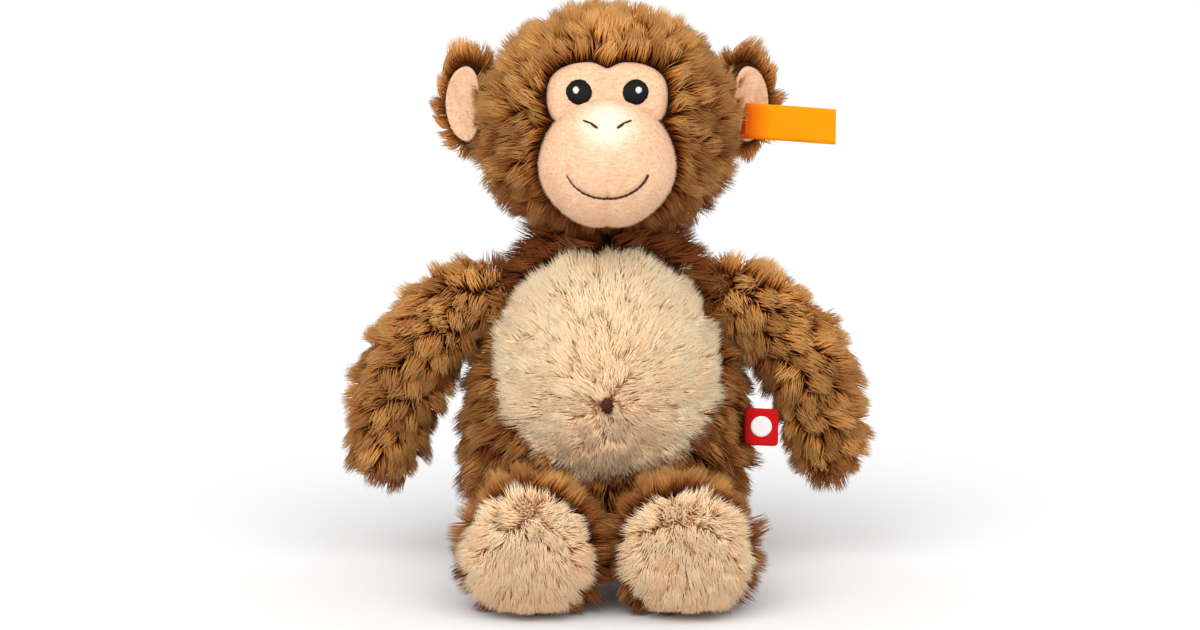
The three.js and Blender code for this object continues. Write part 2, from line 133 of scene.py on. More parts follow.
def new_finish(name, **sockets):
    finish = bpy.data.materials.new(name)
    finish.use_nodes = True
    shader = finish.node_tree.nodes["Principled BSDF"]
    for socket, value in sockets.items():
        shader.inputs[socket.replace("_", " ")].default_value = value
    return finish, finish.node_tree, shader


def feed(tree, socket, value):
    """Wires a socket to another one, or sets its plain value."""
    if isinstance(value, bpy.types.NodeSocket):
        tree.links.new(value, socket)
    else:
        socket.default_value = value


def add_node(tree, kind, inputs=(), **settings):
    node = tree.nodes.new(kind)
    for name, value in settings.items():
        setattr(node, name, value)
    for socket, value in dict(inputs).items():
        feed(tree, node.inputs[socket], value)
    return node


def object_place(tree):
    return add_node(tree, "ShaderNodeTexCoord").outputs["Object"]


def add_noise(tree, place, scale, detail):
    values = {"Vector": place, "Scale": scale, "Detail": detail}
    return add_node(tree, "ShaderNodeTexNoise", values).outputs["Fac"]


def add_waves(tree, place, scale, distortion, **settings):
    values = {"Vector": place, "Scale": scale, "Distortion": distortion}
    return add_node(tree, "ShaderNodeTexWave", values, **settings).outputs["Fac"]


def add_ramp(tree, factor, stops):
    ramp = add_node(tree, "ShaderNodeValToRGB", {"Fac": factor})
    points = ramp.color_ramp.elements
    while len(points) < len(stops):
        points.new(1)
    for point, (place, shade) in zip(points, stops):
        point.position, point.color = place, shade
    return ramp.outputs["Color"]


def add_mix(tree, factor, first, second, blend="MIX"):
    mix = add_node(tree, "ShaderNodeMix", data_type="RGBA", blend_type=blend)
    for number, value in ((0, factor), (6, first), (7, second)):
        feed(tree, mix.inputs[number], value)
    return mix.outputs[2]


def darkened(shade, share):
    return (*(share * c for c in shade[:3]), 1)


def add_bump(tree, shader, height, strength, distance):
    bump = add_node(tree, "ShaderNodeBump", {"Strength": strength, "Distance": distance, "Height": height})
    tree.links.new(bump.outputs["Normal"], shader.inputs["Normal"])


# %% [markdown]
# Plush is a knitted backing with cut fibres standing out of it. Each fibre is painted dark at
# its root, as painted shade where little light gets in, and pale at its tip, partly its worn
# colour and partly painted light. So the pile's finish reads one map only: across the map runs
# the tone of the fibre, dark to golden, and up the map runs the way from root to tip. Every
# fibre is given its own column of that map later.

# %% Finishes of the pile
MAP = "OFBake"
COLUMN = 1 / 48


def pile_finish(name, dark_fibre, light_fibre, roughness=0.65):
    finish, tree, shader = new_finish(name, Roughness=roughness, Specular_IOR_Level=0.12)
    uv = add_node(tree, "ShaderNodeUVMap", uv_map=MAP)
    split = add_node(tree, "ShaderNodeSeparateXYZ", {"Vector": uv.outputs["UV"]})
    tone, along = split.outputs["X"], split.outputs["Y"]
    # Up the map each ramp runs from a dark root to a pale tip; the dark root is painted shade deep in the
    # pile.
    dark = add_ramp(tree, along, dark_fibre)
    light = add_ramp(tree, along, light_fibre)
    tree.links.new(add_mix(tree, tone, dark, light), shader.inputs["Base Color"])
    return finish


brown_pile = pile_finish(
    "brown_pile",
    [(0.0, colour(66, 26, 8)), (0.45, colour(108, 50, 16)), (1.0, colour(148, 80, 34))],
    [(0.0, colour(150, 80, 28)), (0.45, colour(216, 138, 60)), (1.0, colour(252, 202, 128))],
)
peach_pile = pile_finish(
    "peach_pile",
    [(0.0, colour(255, 194, 144)), (0.5, colour(255, 202, 154)), (1.0, colour(255, 214, 172))],
    [(0.0, colour(255, 222, 176)), (0.5, colour(255, 230, 188)), (1.0, colour(255, 238, 204))],
    roughness=0.55,
)
velour_fuzz = pile_finish(
    "velour_fuzz",
    [(0.0, colour(218, 168, 130)), (1.0, colour(234, 196, 162))],
    [(0.0, colour(234, 196, 162)), (1.0, colour(246, 226, 200))],
)
print("pile finishes:", brown_pile.name, peach_pile.name, velour_fuzz.name)


# %% Finishes of the cloth under the pile
def backing_finish(name, valley, crest_light):
    """Knitted backing: small loops in rows, seen only where the pile parts. The loops are painted darker
    in their hollows, which is painted shade, and patches of tone drift across at random.
    """
    finish, tree, shader = new_finish(name, Roughness=0.95, Specular_IOR_Level=0.1)
    place = object_place(tree)
    loops = add_noise(tree, place, 900, 3)
    patches = add_ramp(tree, add_noise(tree, place, 90, 2), [(0.35, valley), (0.65, crest_light)])
    shade = add_mix(tree, 0.35, patches, add_ramp(tree, loops, [(0.3, valley), (0.7, crest_light)]))
    tree.links.new(shade, shader.inputs["Base Color"])
    add_bump(tree, shader, loops, 0.8, 0.4 * MM)
    return finish


# The brown backing's dark brown is partly the cloth's own colour and partly painted shade for the gaps
# between the locks.
brown_backing = backing_finish("brown_backing", colour(40, 19, 9), colour(74, 40, 20))
peach_backing = backing_finish("peach_backing", colour(246, 186, 134), colour(254, 208, 160))


# The middle and reach of the painted highlight on the nose bridge, paler where it faces the light.
BRIDGE_HIGHLIGHT = Vector((0, -54, 184)) * MM
HIGHLIGHT_REACH = 15 * MM


def velour_finish():
    """Short nap brushed sideways: fine streaks across, which follow the nap's bump and are
    painted shade of the nap, a slow drift of tone, and a painted highlight on the bridge of the
    nose, where it faces the light."""
    finish, tree, shader = new_finish("peach_velour", Roughness=0.85, Specular_IOR_Level=0.2)
    shader.inputs["Sheen Weight"].default_value = 0.15
    shader.inputs["Sheen Roughness"].default_value = 0.4
    place = object_place(tree)
    sideways = add_node(tree, "ShaderNodeMapping", {"Vector": place, "Scale": (0.35, 1, 1.6)})
    nap = add_noise(tree, sideways.outputs["Vector"], 900, 4)
    drift = add_noise(tree, place, 120, 2)
    shade = add_ramp(tree, nap, [(0.3, colour(222, 178, 144)), (0.7, colour(240, 206, 176))])
    warm = add_ramp(tree, drift, [(0.4, colour(255, 246, 234)), (0.65, colour(250, 228, 208))])
    shade = add_mix(tree, 0.5, shade, warm, "MULTIPLY")
    off_highlight = add_node(tree, "ShaderNodeVectorMath", {0: place, 1: BRIDGE_HIGHLIGHT}, operation="DISTANCE")
    near_highlight = add_node(tree, "ShaderNodeMapRange", {
        "Value": off_highlight.outputs["Value"],
        "From Min": HIGHLIGHT_REACH,
        "From Max": 0.3 * HIGHLIGHT_REACH,
    })
    shade = add_mix(tree, near_highlight.outputs["Result"], shade, colour(252, 230, 206))
    tree.links.new(shade, shader.inputs["Base Color"])
    add_bump(tree, shader, nap, 0.5, 0.3 * MM)
    return finish


peach_velour = velour_finish()
wadding_finish = backing_finish("wadding", colour(226, 222, 212), colour(248, 246, 240))
print("cloth finishes:", brown_backing.name, peach_backing.name, peach_velour.name)


# %% Finish of sewing thread
def thread_finish(name, shade, roughness=0.45, gloss=0.3):
    """Twisted thread: the twist is a fine slanting ripple, painted darker in its grooves as painted shade,
    and it catches a little light.
    """
    finish, tree, shader = new_finish(name, Roughness=roughness, Specular_IOR_Level=gloss)
    turned = {"Vector": object_place(tree), "Rotation": (0, 0.6, 0.4)}
    slant = add_node(tree, "ShaderNodeMapping", turned)
    twist = add_waves(tree, slant.outputs["Vector"], 900, 2)
    strands_and_groove_shade = add_ramp(tree, twist, [(0.1, darkened(shade, 0.6)), (0.6, shade)])
    tree.links.new(strands_and_groove_shade, shader.inputs["Base Color"])
    add_bump(tree, shader, twist, 0.4, 0.1 * MM)
    return finish


black_thread = thread_finish("black_thread", colour(10, 7, 7), 0.5, 0.18)
white_thread = thread_finish("white_thread", colour(246, 244, 240))
brown_thread = thread_finish("brown_thread", colour(72, 32, 18), 0.55, 0.2)
print("thread finishes:", black_thread.name, white_thread.name, brown_thread.name)

# %% [markdown]
# ## Placing a piece
#
# Every new piece is told which body it moves with and which imported solids it stands for,
# and those solids are hidden.


# %% Helpers for pieces
def make_piece(name, form, finish):
    """A smooth mesh object at the origin from a bmesh, which is used up."""
    mesh = bpy.data.meshes.new(name)
    form.to_mesh(mesh)
    form.free()
    mesh.materials.append(finish)
    mesh.shade_smooth()
    obj = bpy.data.objects.new(name, mesh)
    scene.collection.objects.link(obj)
    return obj


def place_piece(obj, body, slot, *solids):
    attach(obj, body)
    if solids:
        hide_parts(*solids)


def node_middle(name):
    """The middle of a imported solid's box, and half its size."""
    low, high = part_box(name)
    return (low + high) / 2, (high - low) / 2


def bake_modifiers(obj):
    """The mesh as its modifiers show it, kept, with the modifiers gone."""
    graph = bpy.context.evaluated_depsgraph_get()
    shaped = bpy.data.meshes.new_from_object(obj.evaluated_get(graph))
    obj.modifiers.clear()
    old, obj.data = obj.data, shaped
    shaped.name = obj.name
    bpy.data.meshes.remove(old)


def read_out(items, field, length, width, kind=float):
    """A field of a mesh's items as an array of rows."""
    values = np.zeros(length * width, kind)
    items.foreach_get(field, values)
    return values.reshape(-1, width)


def points_of(mesh):
    return read_out(mesh.vertices, "co", len(mesh.vertices), 3)


def normals_of(mesh):
    return read_out(mesh.vertex_normals, "vector", len(mesh.vertices), 3)


def set_points(mesh, points):
    mesh.vertices.foreach_set("co", np.asarray(points, float).ravel())
    mesh.update()


def unit(vectors):
    return vectors / np.maximum(np.linalg.norm(vectors, axis=-1, keepdims=True), 1e-9)


# %% [markdown]
# ## Stuffed skins
#
# A stuffed limb is a cloth bag pushed outwards by its filling and held back by its seams. So
# each skin starts as a copy of the filling's own solid, made into even squares by a voxel
# remesh, and a short cloth simulation blows it up from inside while the vertices along its
# seams are pinned. A cap keeps any point from swelling further than the plush is thick. The
# big, round torso and head blow up well. An arm or a leg is a narrow tube that hardly gives,
# by less than a tenth of a millimetre, so its fullness comes from the first step outwards.

# %% A skin blown up by its filling
SWELL = 1.5 * MM
SWELL_CAP = 1.8 * MM
VOXEL = 4 * MM
FRAMES = 20
PRESSURE, STRETCH = 40, 5
PLUSH_DEEP = 1.4 * MM


def sink_in(obj, depth):
    """Draws a closed mesh inwards all over."""
    set_points(obj.data, points_of(obj.data) - normals_of(obj.data) * depth)


def stuffed_skin(body, seam_distance):
    name, filling = body + "_skin", body + "_stuffing"
    form = bmesh.new()
    form.from_mesh(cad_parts[filling].data)
    bmesh.ops.remove_doubles(form, verts=form.verts, dist=0.01 * MM)
    skin = make_piece(name, form, brown_backing)
    squares = skin.modifiers.new("squares", "REMESH")
    squares.mode, squares.voxel_size = "VOXEL", VOXEL
    bake_modifiers(skin)
    smooth = skin.modifiers.new("smooth", "SMOOTH")
    smooth.factor, smooth.iterations = 0.5, 6
    swell = skin.modifiers.new("swell", "DISPLACE")
    swell.strength, swell.mid_level = SWELL, 0
    bake_modifiers(skin)
    start = points_of(skin.data)
    seam = skin.vertex_groups.new(name="seam")
    on_seam = np.flatnonzero(np.abs(seam_distance(start)) < 0.5 * VOXEL)
    seam.add([int(i) for i in on_seam], 1, "REPLACE")
    cloth = skin.modifiers.new("cloth", "CLOTH")
    cloth.settings.use_pressure = True
    cloth.settings.uniform_pressure_force = PRESSURE
    cloth.settings.tension_stiffness = cloth.settings.compression_stiffness = STRETCH
    cloth.settings.vertex_group_mass = "seam"
    cloth.settings.effector_weights.gravity = 0
    for number in range(1, FRAMES + 1):
        scene.frame_set(number)
    bake_modifiers(skin)
    scene.frame_set(1)
    skin.vertex_groups.clear()
    moved = points_of(skin.data) - start
    far = np.linalg.norm(moved, axis=1, keepdims=True)
    set_points(skin.data, start + moved * np.minimum(1, SWELL_CAP / np.maximum(far, 1e-9)))
    print(name, "pinned", len(on_seam), "swelled up to", round(far.max() / MM, 2), "mm")
    skin.data.materials.clear()
    skin.data.materials.append(brown_backing)
    wadding = bpy.data.objects.new(name.replace("skin", "filling"), skin.data.copy())
    scene.collection.objects.link(wadding)
    wadding.data.materials[0] = wadding_finish
    sink_in(wadding, PLUSH_DEEP)
    place_piece(wadding, body, "filling", filling)
    even = skin.modifiers.new("even", "SUBSURF")
    even.levels = even.render_levels = 1
    bake_modifiers(skin)
    skin.data.shade_smooth()
    return skin


GUSSET = 15 * MM
HIP_HEIGHT = 24 * MM
SIDES = {"left": 1, "right": -1}
skins = {
    "torso": stuffed_skin("torso", lambda p: p[:, 0]),
    "head": stuffed_skin("head", lambda p: np.abs(p[:, 0]) - GUSSET),
}
place_piece(
    skins["torso"], "torso", "brown_plush",
    "torso_front_left", "torso_front_right", "torso_back_left", "torso_back_right", "torso_base",
)
place_piece(skins["head"], "head", "brown_plush", "head_gusset", "head_side_left", "head_side_right")
for side in SIDES:
    skins["arm_" + side] = stuffed_skin("arm_" + side, lambda p: p[:, 1])
    place_piece(
        skins["arm_" + side], "arm_" + side, "brown_plush",
        f"arm_{side}_front_panel", f"arm_{side}_back_panel",
    )
    skins["leg_" + side] = stuffed_skin("leg_" + side, lambda p: p[:, 2] - HIP_HEIGHT)
    place_piece(
        skins["leg_" + side], "leg_" + side, "brown_plush",
        f"leg_{side}_upper_panel", f"leg_{side}_under_panel",
    )
print("skins:", {name: len(skin.data.polygons) for name, skin in skins.items()})


# %% [markdown]
# ## Discs of cloth
#
# The belly patch, the eye panel, the soles and the ear linings are all flat cuts of cloth
# that follow a curved form. A disc of rings suits them: a row of points is spun a full turn,
# and then each ring is moved to the cut's outline and each point to the form behind it.


# %% A spun disc
def spun_disc(rings, around):
    """A flat disc of unit radius in XZ, facing -Y, of even rings about the origin."""
    form = bmesh.new()
    row = [form.verts.new((i / rings, 0, 0)) for i in range(rings + 1)]
    edges = [form.edges.new(pair) for pair in zip(row, row[1:])]
    bmesh.ops.spin(
        form, geom=row + edges, cent=(0, 0, 0), axis=(0, 1, 0), angle=math.tau,
        steps=around, use_merge=True,
    )
    bmesh.ops.remove_doubles(form, verts=form.verts, dist=1e-5)
    bmesh.ops.recalc_face_normals(form, faces=form.faces)
    if sum(face.normal.y for face in form.faces) > 0:
        bmesh.ops.reverse_faces(form, faces=form.faces)
    return form


def give_thickness(obj, thickness):
    wall = obj.modifiers.new("wall", "SOLIDIFY")
    wall.thickness, wall.offset = thickness, -1
    bake_modifiers(obj)


def surface_of(*objs):
    """A search tree over the shown meshes of one or more pieces."""
    points, faces = [], []
    for obj in objs:
        first = len(points)
        points += [v.co.copy() for v in obj.data.vertices]
        faces += [[first + i for i in face.vertices] for face in obj.data.polygons]
    return BVHTree.FromPolygons(points, faces)


def drop_on(tree, x, z, from_y=-0.3):
    """Where a line along +Y through (x, z) first meets a surface, or the point of the
    surface that is nearest to where the line starts."""
    start = Vector((x, from_y, z))
    return tree.ray_cast(start, Vector((0, 1, 0)))[0] or tree.find_nearest(start)[0]


# %% [markdown]
# The belly patch is let into the torso front with its pile outside. Its backing is a disc
# laid on the torso skin, a touch proud, with its edge tucked down to the brown cloth.

# %% Belly patch
BELLY_MIDDLE = Vector((0, 0, 86)) * MM
BELLY_HALF = 40 * MM
NAVEL_HEIGHT = 72 * MM
torso_tree = surface_of(skins["torso"])
form = spun_disc(24, 96)
for vertex in form.verts:
    radius = math.hypot(vertex.co.x, vertex.co.z)
    x, z = vertex.co.x * BELLY_HALF, BELLY_MIDDLE.z + vertex.co.z * BELLY_HALF
    hit = drop_on(torso_tree, x, z, -60 * MM)
    pit = math.exp(-((x / (4 * MM)) ** 2) - ((z - NAVEL_HEIGHT) / (4 * MM)) ** 2)
    vertex.co = hit + Vector((0, -1.6 * MM * (1 - radius**4) + 1.4 * MM * pit, 0))
belly = make_piece("belly_patch_cloth", form, peach_backing)
give_thickness(belly, 1.0 * MM)
place_piece(belly, "torso", "peach_plush", "belly_patch")
print("belly patch:", len(belly.data.polygons), "faces")

# %% Soles
SOLE_RADIUS = 20.5 * MM
SPLAY = math.radians(7)


def leg_frame(side):
    """The middle of a packed sole, and the way it faces."""
    splay = SPLAY * SIDES[side]
    return node_middle(f"leg_{side}_sole")[0], Vector((math.sin(splay), -math.cos(splay), 0))


soles = {}
for side in SIDES:
    middle, facing = leg_frame(side)
    across = facing.cross(Vector((0, 0, 1))).normalized() * -1
    leg_tree = surface_of(skins["leg_" + side])
    form = spun_disc(14, 64)
    for vertex in form.verts:
        radius = math.hypot(vertex.co.x, vertex.co.z)
        spot = middle + (across * vertex.co.x + Vector((0, 0, vertex.co.z))) * SOLE_RADIUS
        hit = leg_tree.ray_cast(spot + facing * 60 * MM, -facing)[0]
        if hit is None:
            hit = spot
        vertex.co = hit + facing * 1.5 * MM * (1 - radius**6)
    soles[side] = make_piece(f"leg_{side}_sole_cloth", form, peach_backing)
    give_thickness(soles[side], 0.8 * MM)
    place_piece(soles[side], "leg_" + side, "peach_plush", f"leg_{side}_sole")
print("soles:", [len(sole.data.polygons) for sole in soles.values()])

# %% [markdown]
# ## The face
#
# The eye panel is one cut of velour with two round lobes over the eyes. It lies a little
# lower than the pile around it, bulges over each eye socket and dips between them. Its
# outline is written as a distance from its middle for each direction.

# %% Eye panel
HEAD_MIDDLE = np.array((0, 0, 176)) * MM
HEAD_HALF = np.array((49, 42, 44)) * MM
PANEL_MIDDLE = 190.5 * MM
PANEL_WIDE, PANEL_ABOVE, PANEL_BELOW = 23.4 * MM, 13.4 * MM, 14.5 * MM
BROW_DIP = 2.7 * MM
RECESS = 1.9 * MM


def head_depth(x, z):
    """How far in front of the head's middle its form is, at a place in the front view."""
    inside = 1 - (x / HEAD_HALF[0]) ** 2 - ((z - HEAD_MIDDLE[2]) / HEAD_HALF[2]) ** 2
    return -HEAD_HALF[1] * math.sqrt(max(inside, 0.02))


def panel_reach(turn):
    """The outline: a rounded oblong with a shallow dip at the middle of its top edge."""
    across, up = abs(math.cos(turn)), math.sin(turn)
    high = PANEL_ABOVE if up > 0 else PANEL_BELOW
    reach = ((across / PANEL_WIDE) ** 2.7 + (abs(up) / high) ** 2.7) ** (-1 / 2.7)
    return reach - (BROW_DIP * math.exp(-((across / 0.32) ** 2)) if up > 0 else 0)


def panel_puff(x, z):
    """The soft bulge over each eye and the valley between them."""
    puff = 0
    for middle in (-12 * MM, 12 * MM):
        puff += math.exp(-(((x - middle) / (9 * MM)) ** 2) - ((z - 193 * MM) / (9 * MM)) ** 2)
    valley = math.exp(-((x / (5 * MM)) ** 2) - ((z - 197 * MM) / (9 * MM)) ** 2)
    return (1.5 * puff - 0.6 * valley) * MM


form = spun_disc(30, 120)
for vertex in form.verts:
    radius = math.hypot(vertex.co.x, vertex.co.z)
    turn = math.atan2(vertex.co.z, vertex.co.x)
    reach = radius * panel_reach(turn)
    x, z = reach * math.cos(turn), PANEL_MIDDLE + reach * math.sin(turn)
    tuck = 1.6 * MM * max(0, (radius - 0.86) / 0.14) ** 2
    vertex.co = Vector((x, head_depth(x, z) + RECESS - panel_puff(x, z) + tuck, z))
panel = make_piece("eye_panel_cloth", form, peach_velour)
give_thickness(panel, 1.0 * MM)
place_piece(panel, "head", "peach_velour", "eye_panel")
print("eye panel:", len(panel.data.polygons), "faces")

# %% [markdown]
# The muzzle is two halves of velour sewn together down the middle and stuffed hard into a
# ball. The seam pulls a fine groove from the nose to a notch at the chin, the smile's
# stitches pull a second one, and the two nostril stitches pinch the top into a small nose.

# %% Muzzle
MUZZLE_MIDDLE = np.array((0, -36, 165)) * MM
MUZZLE_HALF = np.array((25.6, 22.0, 25.4)) * MM
MOUTH_HALF, MOUTH_CORNER, MOUTH_LOW = 15.6 * MM, -2.5 * MM, -11.7 * MM
NOSTRIL_OUTER, NOSTRIL_INNER = (9.2 * MM, 17.9 * MM), (3.7 * MM, 15.3 * MM)


def mouth_height(x):
    """Height of the smile over the muzzle's middle."""
    share = np.clip(np.abs(x) / MOUTH_HALF, 0, 1)
    rise = (1 - np.sqrt(1 - 0.92 * share**2)) / (1 - math.sqrt(0.08))
    return MOUTH_LOW + (MOUTH_CORNER - MOUTH_LOW) * rise


def nostril_line(across, height):
    """How far along a nostril's stitch each place is, and how far off it."""
    start, run = np.array(NOSTRIL_OUTER), np.array(NOSTRIL_INNER) - NOSTRIL_OUTER
    flat = np.stack([across, height], axis=1) - start
    share = np.clip(flat @ run / (run @ run), 0, 1)
    return share, np.linalg.norm(flat - share[:, None] * run, axis=1)


def groove(distance, width):
    return np.exp(-((distance / width) ** 2))


form = bmesh.new()
bmesh.ops.create_icosphere(form, subdivisions=6, radius=1)
muzzle = make_piece("muzzle_cloth", form, peach_velour)
ball = points_of(muzzle.data)
cheeks = 1 + 0.035 * np.exp(-(((ball[:, 2] + 0.25) / 0.5) ** 2))
place = ball * MUZZLE_HALF
place[:, 0] *= cheeks
front = np.clip(-ball[:, 1], 0, 1)
seam_span = np.clip((14 * MM - place[:, 2]) / (4 * MM), 0, 1)
sink = 0.55 * groove(place[:, 0], 0.9 * MM) * seam_span
sink += 0.9 * groove(place[:, 0], 5 * MM) * seam_span * np.clip(-ball[:, 2], 0, 1)
in_mouth = np.clip((MOUTH_HALF + 0.5 * MM - np.abs(place[:, 0])) / (1.5 * MM), 0, 1) * (front > 0.2)
sink += 0.75 * groove(place[:, 2] - mouth_height(place[:, 0]), 1.0 * MM) * in_mouth
sink += 0.5 * groove(place[:, 2] - mouth_height(place[:, 0]) + 2.5 * MM, 3 * MM) * in_mouth
for sign in (1, -1):
    share, off = nostril_line(place[:, 0] * sign, place[:, 2])
    sink += 0.8 * groove(off, 1.3 * MM) * (0.5 + share) * (front > 0.2)
crease = groove(place[:, 2] - 13.2 * MM, 1.6 * MM) * groove(place[:, 0], 4 * MM) * (front > 0.2)
bridge = groove(place[:, 2] - 17 * MM, 3.5 * MM) * groove(place[:, 0], 8 * MM) * front
sink += 0.7 * crease - 0.9 * bridge
outward = unit(ball / MUZZLE_HALF)
set_points(muzzle.data, MUZZLE_MIDDLE + place - outward * (sink * MM)[:, None])
muzzle.data.shade_smooth()
place_piece(muzzle, "head", "peach_velour", "muzzle_left", "muzzle_right")
print("muzzle:", len(muzzle.data.polygons), "faces")

# %% [markdown]
# ## Fibres and threads
#
# Pile and stitches are the same job: one small closed shape, repeated many times, and each
# copy bent along its own path. The copies are made by doubling with the duplicate operator,
# and one array sum then lays them all along their paths. A fibre of pile is a three-sided
# spike cut across so that it can bend. A stitch is a capsule.


# %% Shapes to repeat
def spike(cuts):
    """A closed three-sided spike of unit height, cut across so that it can bend."""
    form = bmesh.new()
    flat_side_out = Matrix.Rotation(math.pi, 4, "Z")
    bmesh.ops.create_cone(
        form, cap_ends=True, segments=3, radius1=1, radius2=0, depth=1,
        matrix=Matrix.Translation((0, 0, 0.5)) @ flat_side_out,
    )
    for i in range(1, cuts + 1):
        everything = form.verts[:] + form.edges[:] + form.faces[:]
        bmesh.ops.bisect_plane(form, geom=everything, plane_co=(0, 0, i / (cuts + 1)), plane_no=(0, 0, 1))
    return form


def capsule(around, rings):
    form = bmesh.new()
    bmesh.ops.create_uvsphere(form, u_segments=around, v_segments=rings, radius=1)
    for vertex in form.verts:
        vertex.co.z = 0.5 + 0.5 * vertex.co.z
    return form


def repeat(form, count):
    """Doubles a shape until there are enough copies, then trims. Gives the copies in order,
    and how many points one has. A fresh bmesh keeps the order, as cuts leave gaps in one."""
    mesh = bpy.data.meshes.new("one")
    form.to_mesh(mesh)
    form.free()
    form = bmesh.new()
    form.from_mesh(mesh)
    bpy.data.meshes.remove(mesh)
    size, copies = len(form.verts), 1
    while copies < count:
        everything = form.verts[:] + form.edges[:] + form.faces[:]
        bmesh.ops.duplicate(form, geom=everything)
        copies *= 2
    form.verts.ensure_lookup_table()
    bmesh.ops.delete(form, geom=form.verts[size * count:], context="VERTS")
    return form, size


def lay_along(name, finish, shape, paths, thick, profile, facing, tone=None):
    """One copy of shape for each path. paths is (copies, stations, 3), thick a radius for
    each copy, profile the radius at a share of the way, and facing a direction off the path."""
    copies, stations = paths.shape[:2]
    form, size = repeat(shape, copies)
    obj = make_piece(name, form, finish)
    template = points_of(obj.data)[:size]
    if np.abs(points_of(obj.data).reshape(copies, size, 3) - template).max() > 1e-6:
        raise ValueError(name + ": its copies are out of order")
    along = np.clip(template[:, 2], 0, 1)
    ring = unit(template[:, :2]) * (np.linalg.norm(template[:, :2], axis=1) > 1e-6)[:, None]
    ring = ring * profile(along)[:, None]
    spot = along * (stations - 1)
    before = np.minimum(spot.astype(int), stations - 2)
    share = (spot - before)[None, :, None]
    centre = paths[:, before] * (1 - share) + paths[:, before + 1] * share
    slopes = np.gradient(paths, axis=1)
    slope = unit(slopes[:, before] * (1 - share) + slopes[:, before + 1] * share)
    side = unit(np.cross(slope, np.broadcast_to(facing[:, None, :], slope.shape)))
    up = np.cross(side, slope)
    radius = np.asarray(thick, float).reshape(-1, 1, 1)
    placed = centre + radius * (side * ring[None, :, :1] + up * ring[None, :, 1:2])
    set_points(obj.data, placed.reshape(-1, 3))
    if tone is not None:
        corner = np.zeros(len(obj.data.loops), int)
        obj.data.loops.foreach_get("vertex_index", corner)
        copy, point = corner // size, corner % size
        column = (np.arctan2(template[:, 1], template[:, 0]) / math.tau + 0.5) * COLUMN
        chart = np.empty((len(corner), 2))
        chart[:, 0] = np.clip(tone, 0, 1)[copy] * (1 - COLUMN) + column[point]
        chart[:, 1] = along[point]
        obj.data.uv_layers.new(name=MAP).data.foreach_set("uv", chart.ravel())
    return obj


# %% [markdown]
# ## How the pile lies
#
# Long pile never stands as single hairs. It gathers in locks a few millimetres apart, each
# lock leans its own way, and its fibres meet a little towards the tip. So each skin is first
# sown with lock centres kept a set distance apart, and then every fibre joins the nearest
# lock: it starts where it is rooted, turns from standing up to the lock's own lean, and is
# drawn part of the way towards the lock's middle line.


# %% Sowing roots on a skin
DENSITY = 1.0


def sow(obj, count, rng):
    """Even random places on a mesh, with the smooth outward direction at each."""
    mesh = obj.data
    mesh.calc_loop_triangles()
    corners = read_out(mesh.loop_triangles, "vertices", len(mesh.loop_triangles), 3, int)
    points, normals = points_of(mesh), normals_of(mesh)
    count = int(count * DENSITY)
    a, b, c = points[corners[:, 0]], points[corners[:, 1]], points[corners[:, 2]]
    area = np.linalg.norm(np.cross(b - a, c - a), axis=1) / 2
    pick = rng.choice(len(area), count, p=area / area.sum())
    s, t = rng.random((2, count))
    flip = s + t > 1
    s[flip], t[flip] = 1 - s[flip], 1 - t[flip]
    weight = np.stack([1 - s - t, s, t], axis=1)[:, :, None]
    outward = unit((normals[corners[pick]] * weight).sum(1))
    return (points[corners[pick]] * weight).sum(1), outward


def spaced(points, gaps):
    """Which of the points to keep so that each keeps its own gap from those before it."""
    kept = []
    taken = np.empty((0, 3))
    for i, (point, gap) in enumerate(zip(points, gaps)):
        if not len(taken) or ((taken - point) ** 2).sum(1).min() > gap * gap:
            kept.append(i)
            taken = np.vstack([taken, point])
    return np.array(kept)


def flat_to(vectors, normals):
    return vectors - normals * (vectors * normals).sum(1, keepdims=True)


STATIONS = 4
FLOOR_GAP = 0.4 * MM


def curves(roots, outward, lean, length):
    """A path from each root that leaves along outward and ends along lean."""
    t = np.linspace(0, 1, STATIONS)[None, :, None]
    first, last = unit(outward)[:, None], unit(lean)[:, None]
    return roots[:, None] + length[:, None, None] * (first * (t - t * t / 2) + last * t * t / 2)


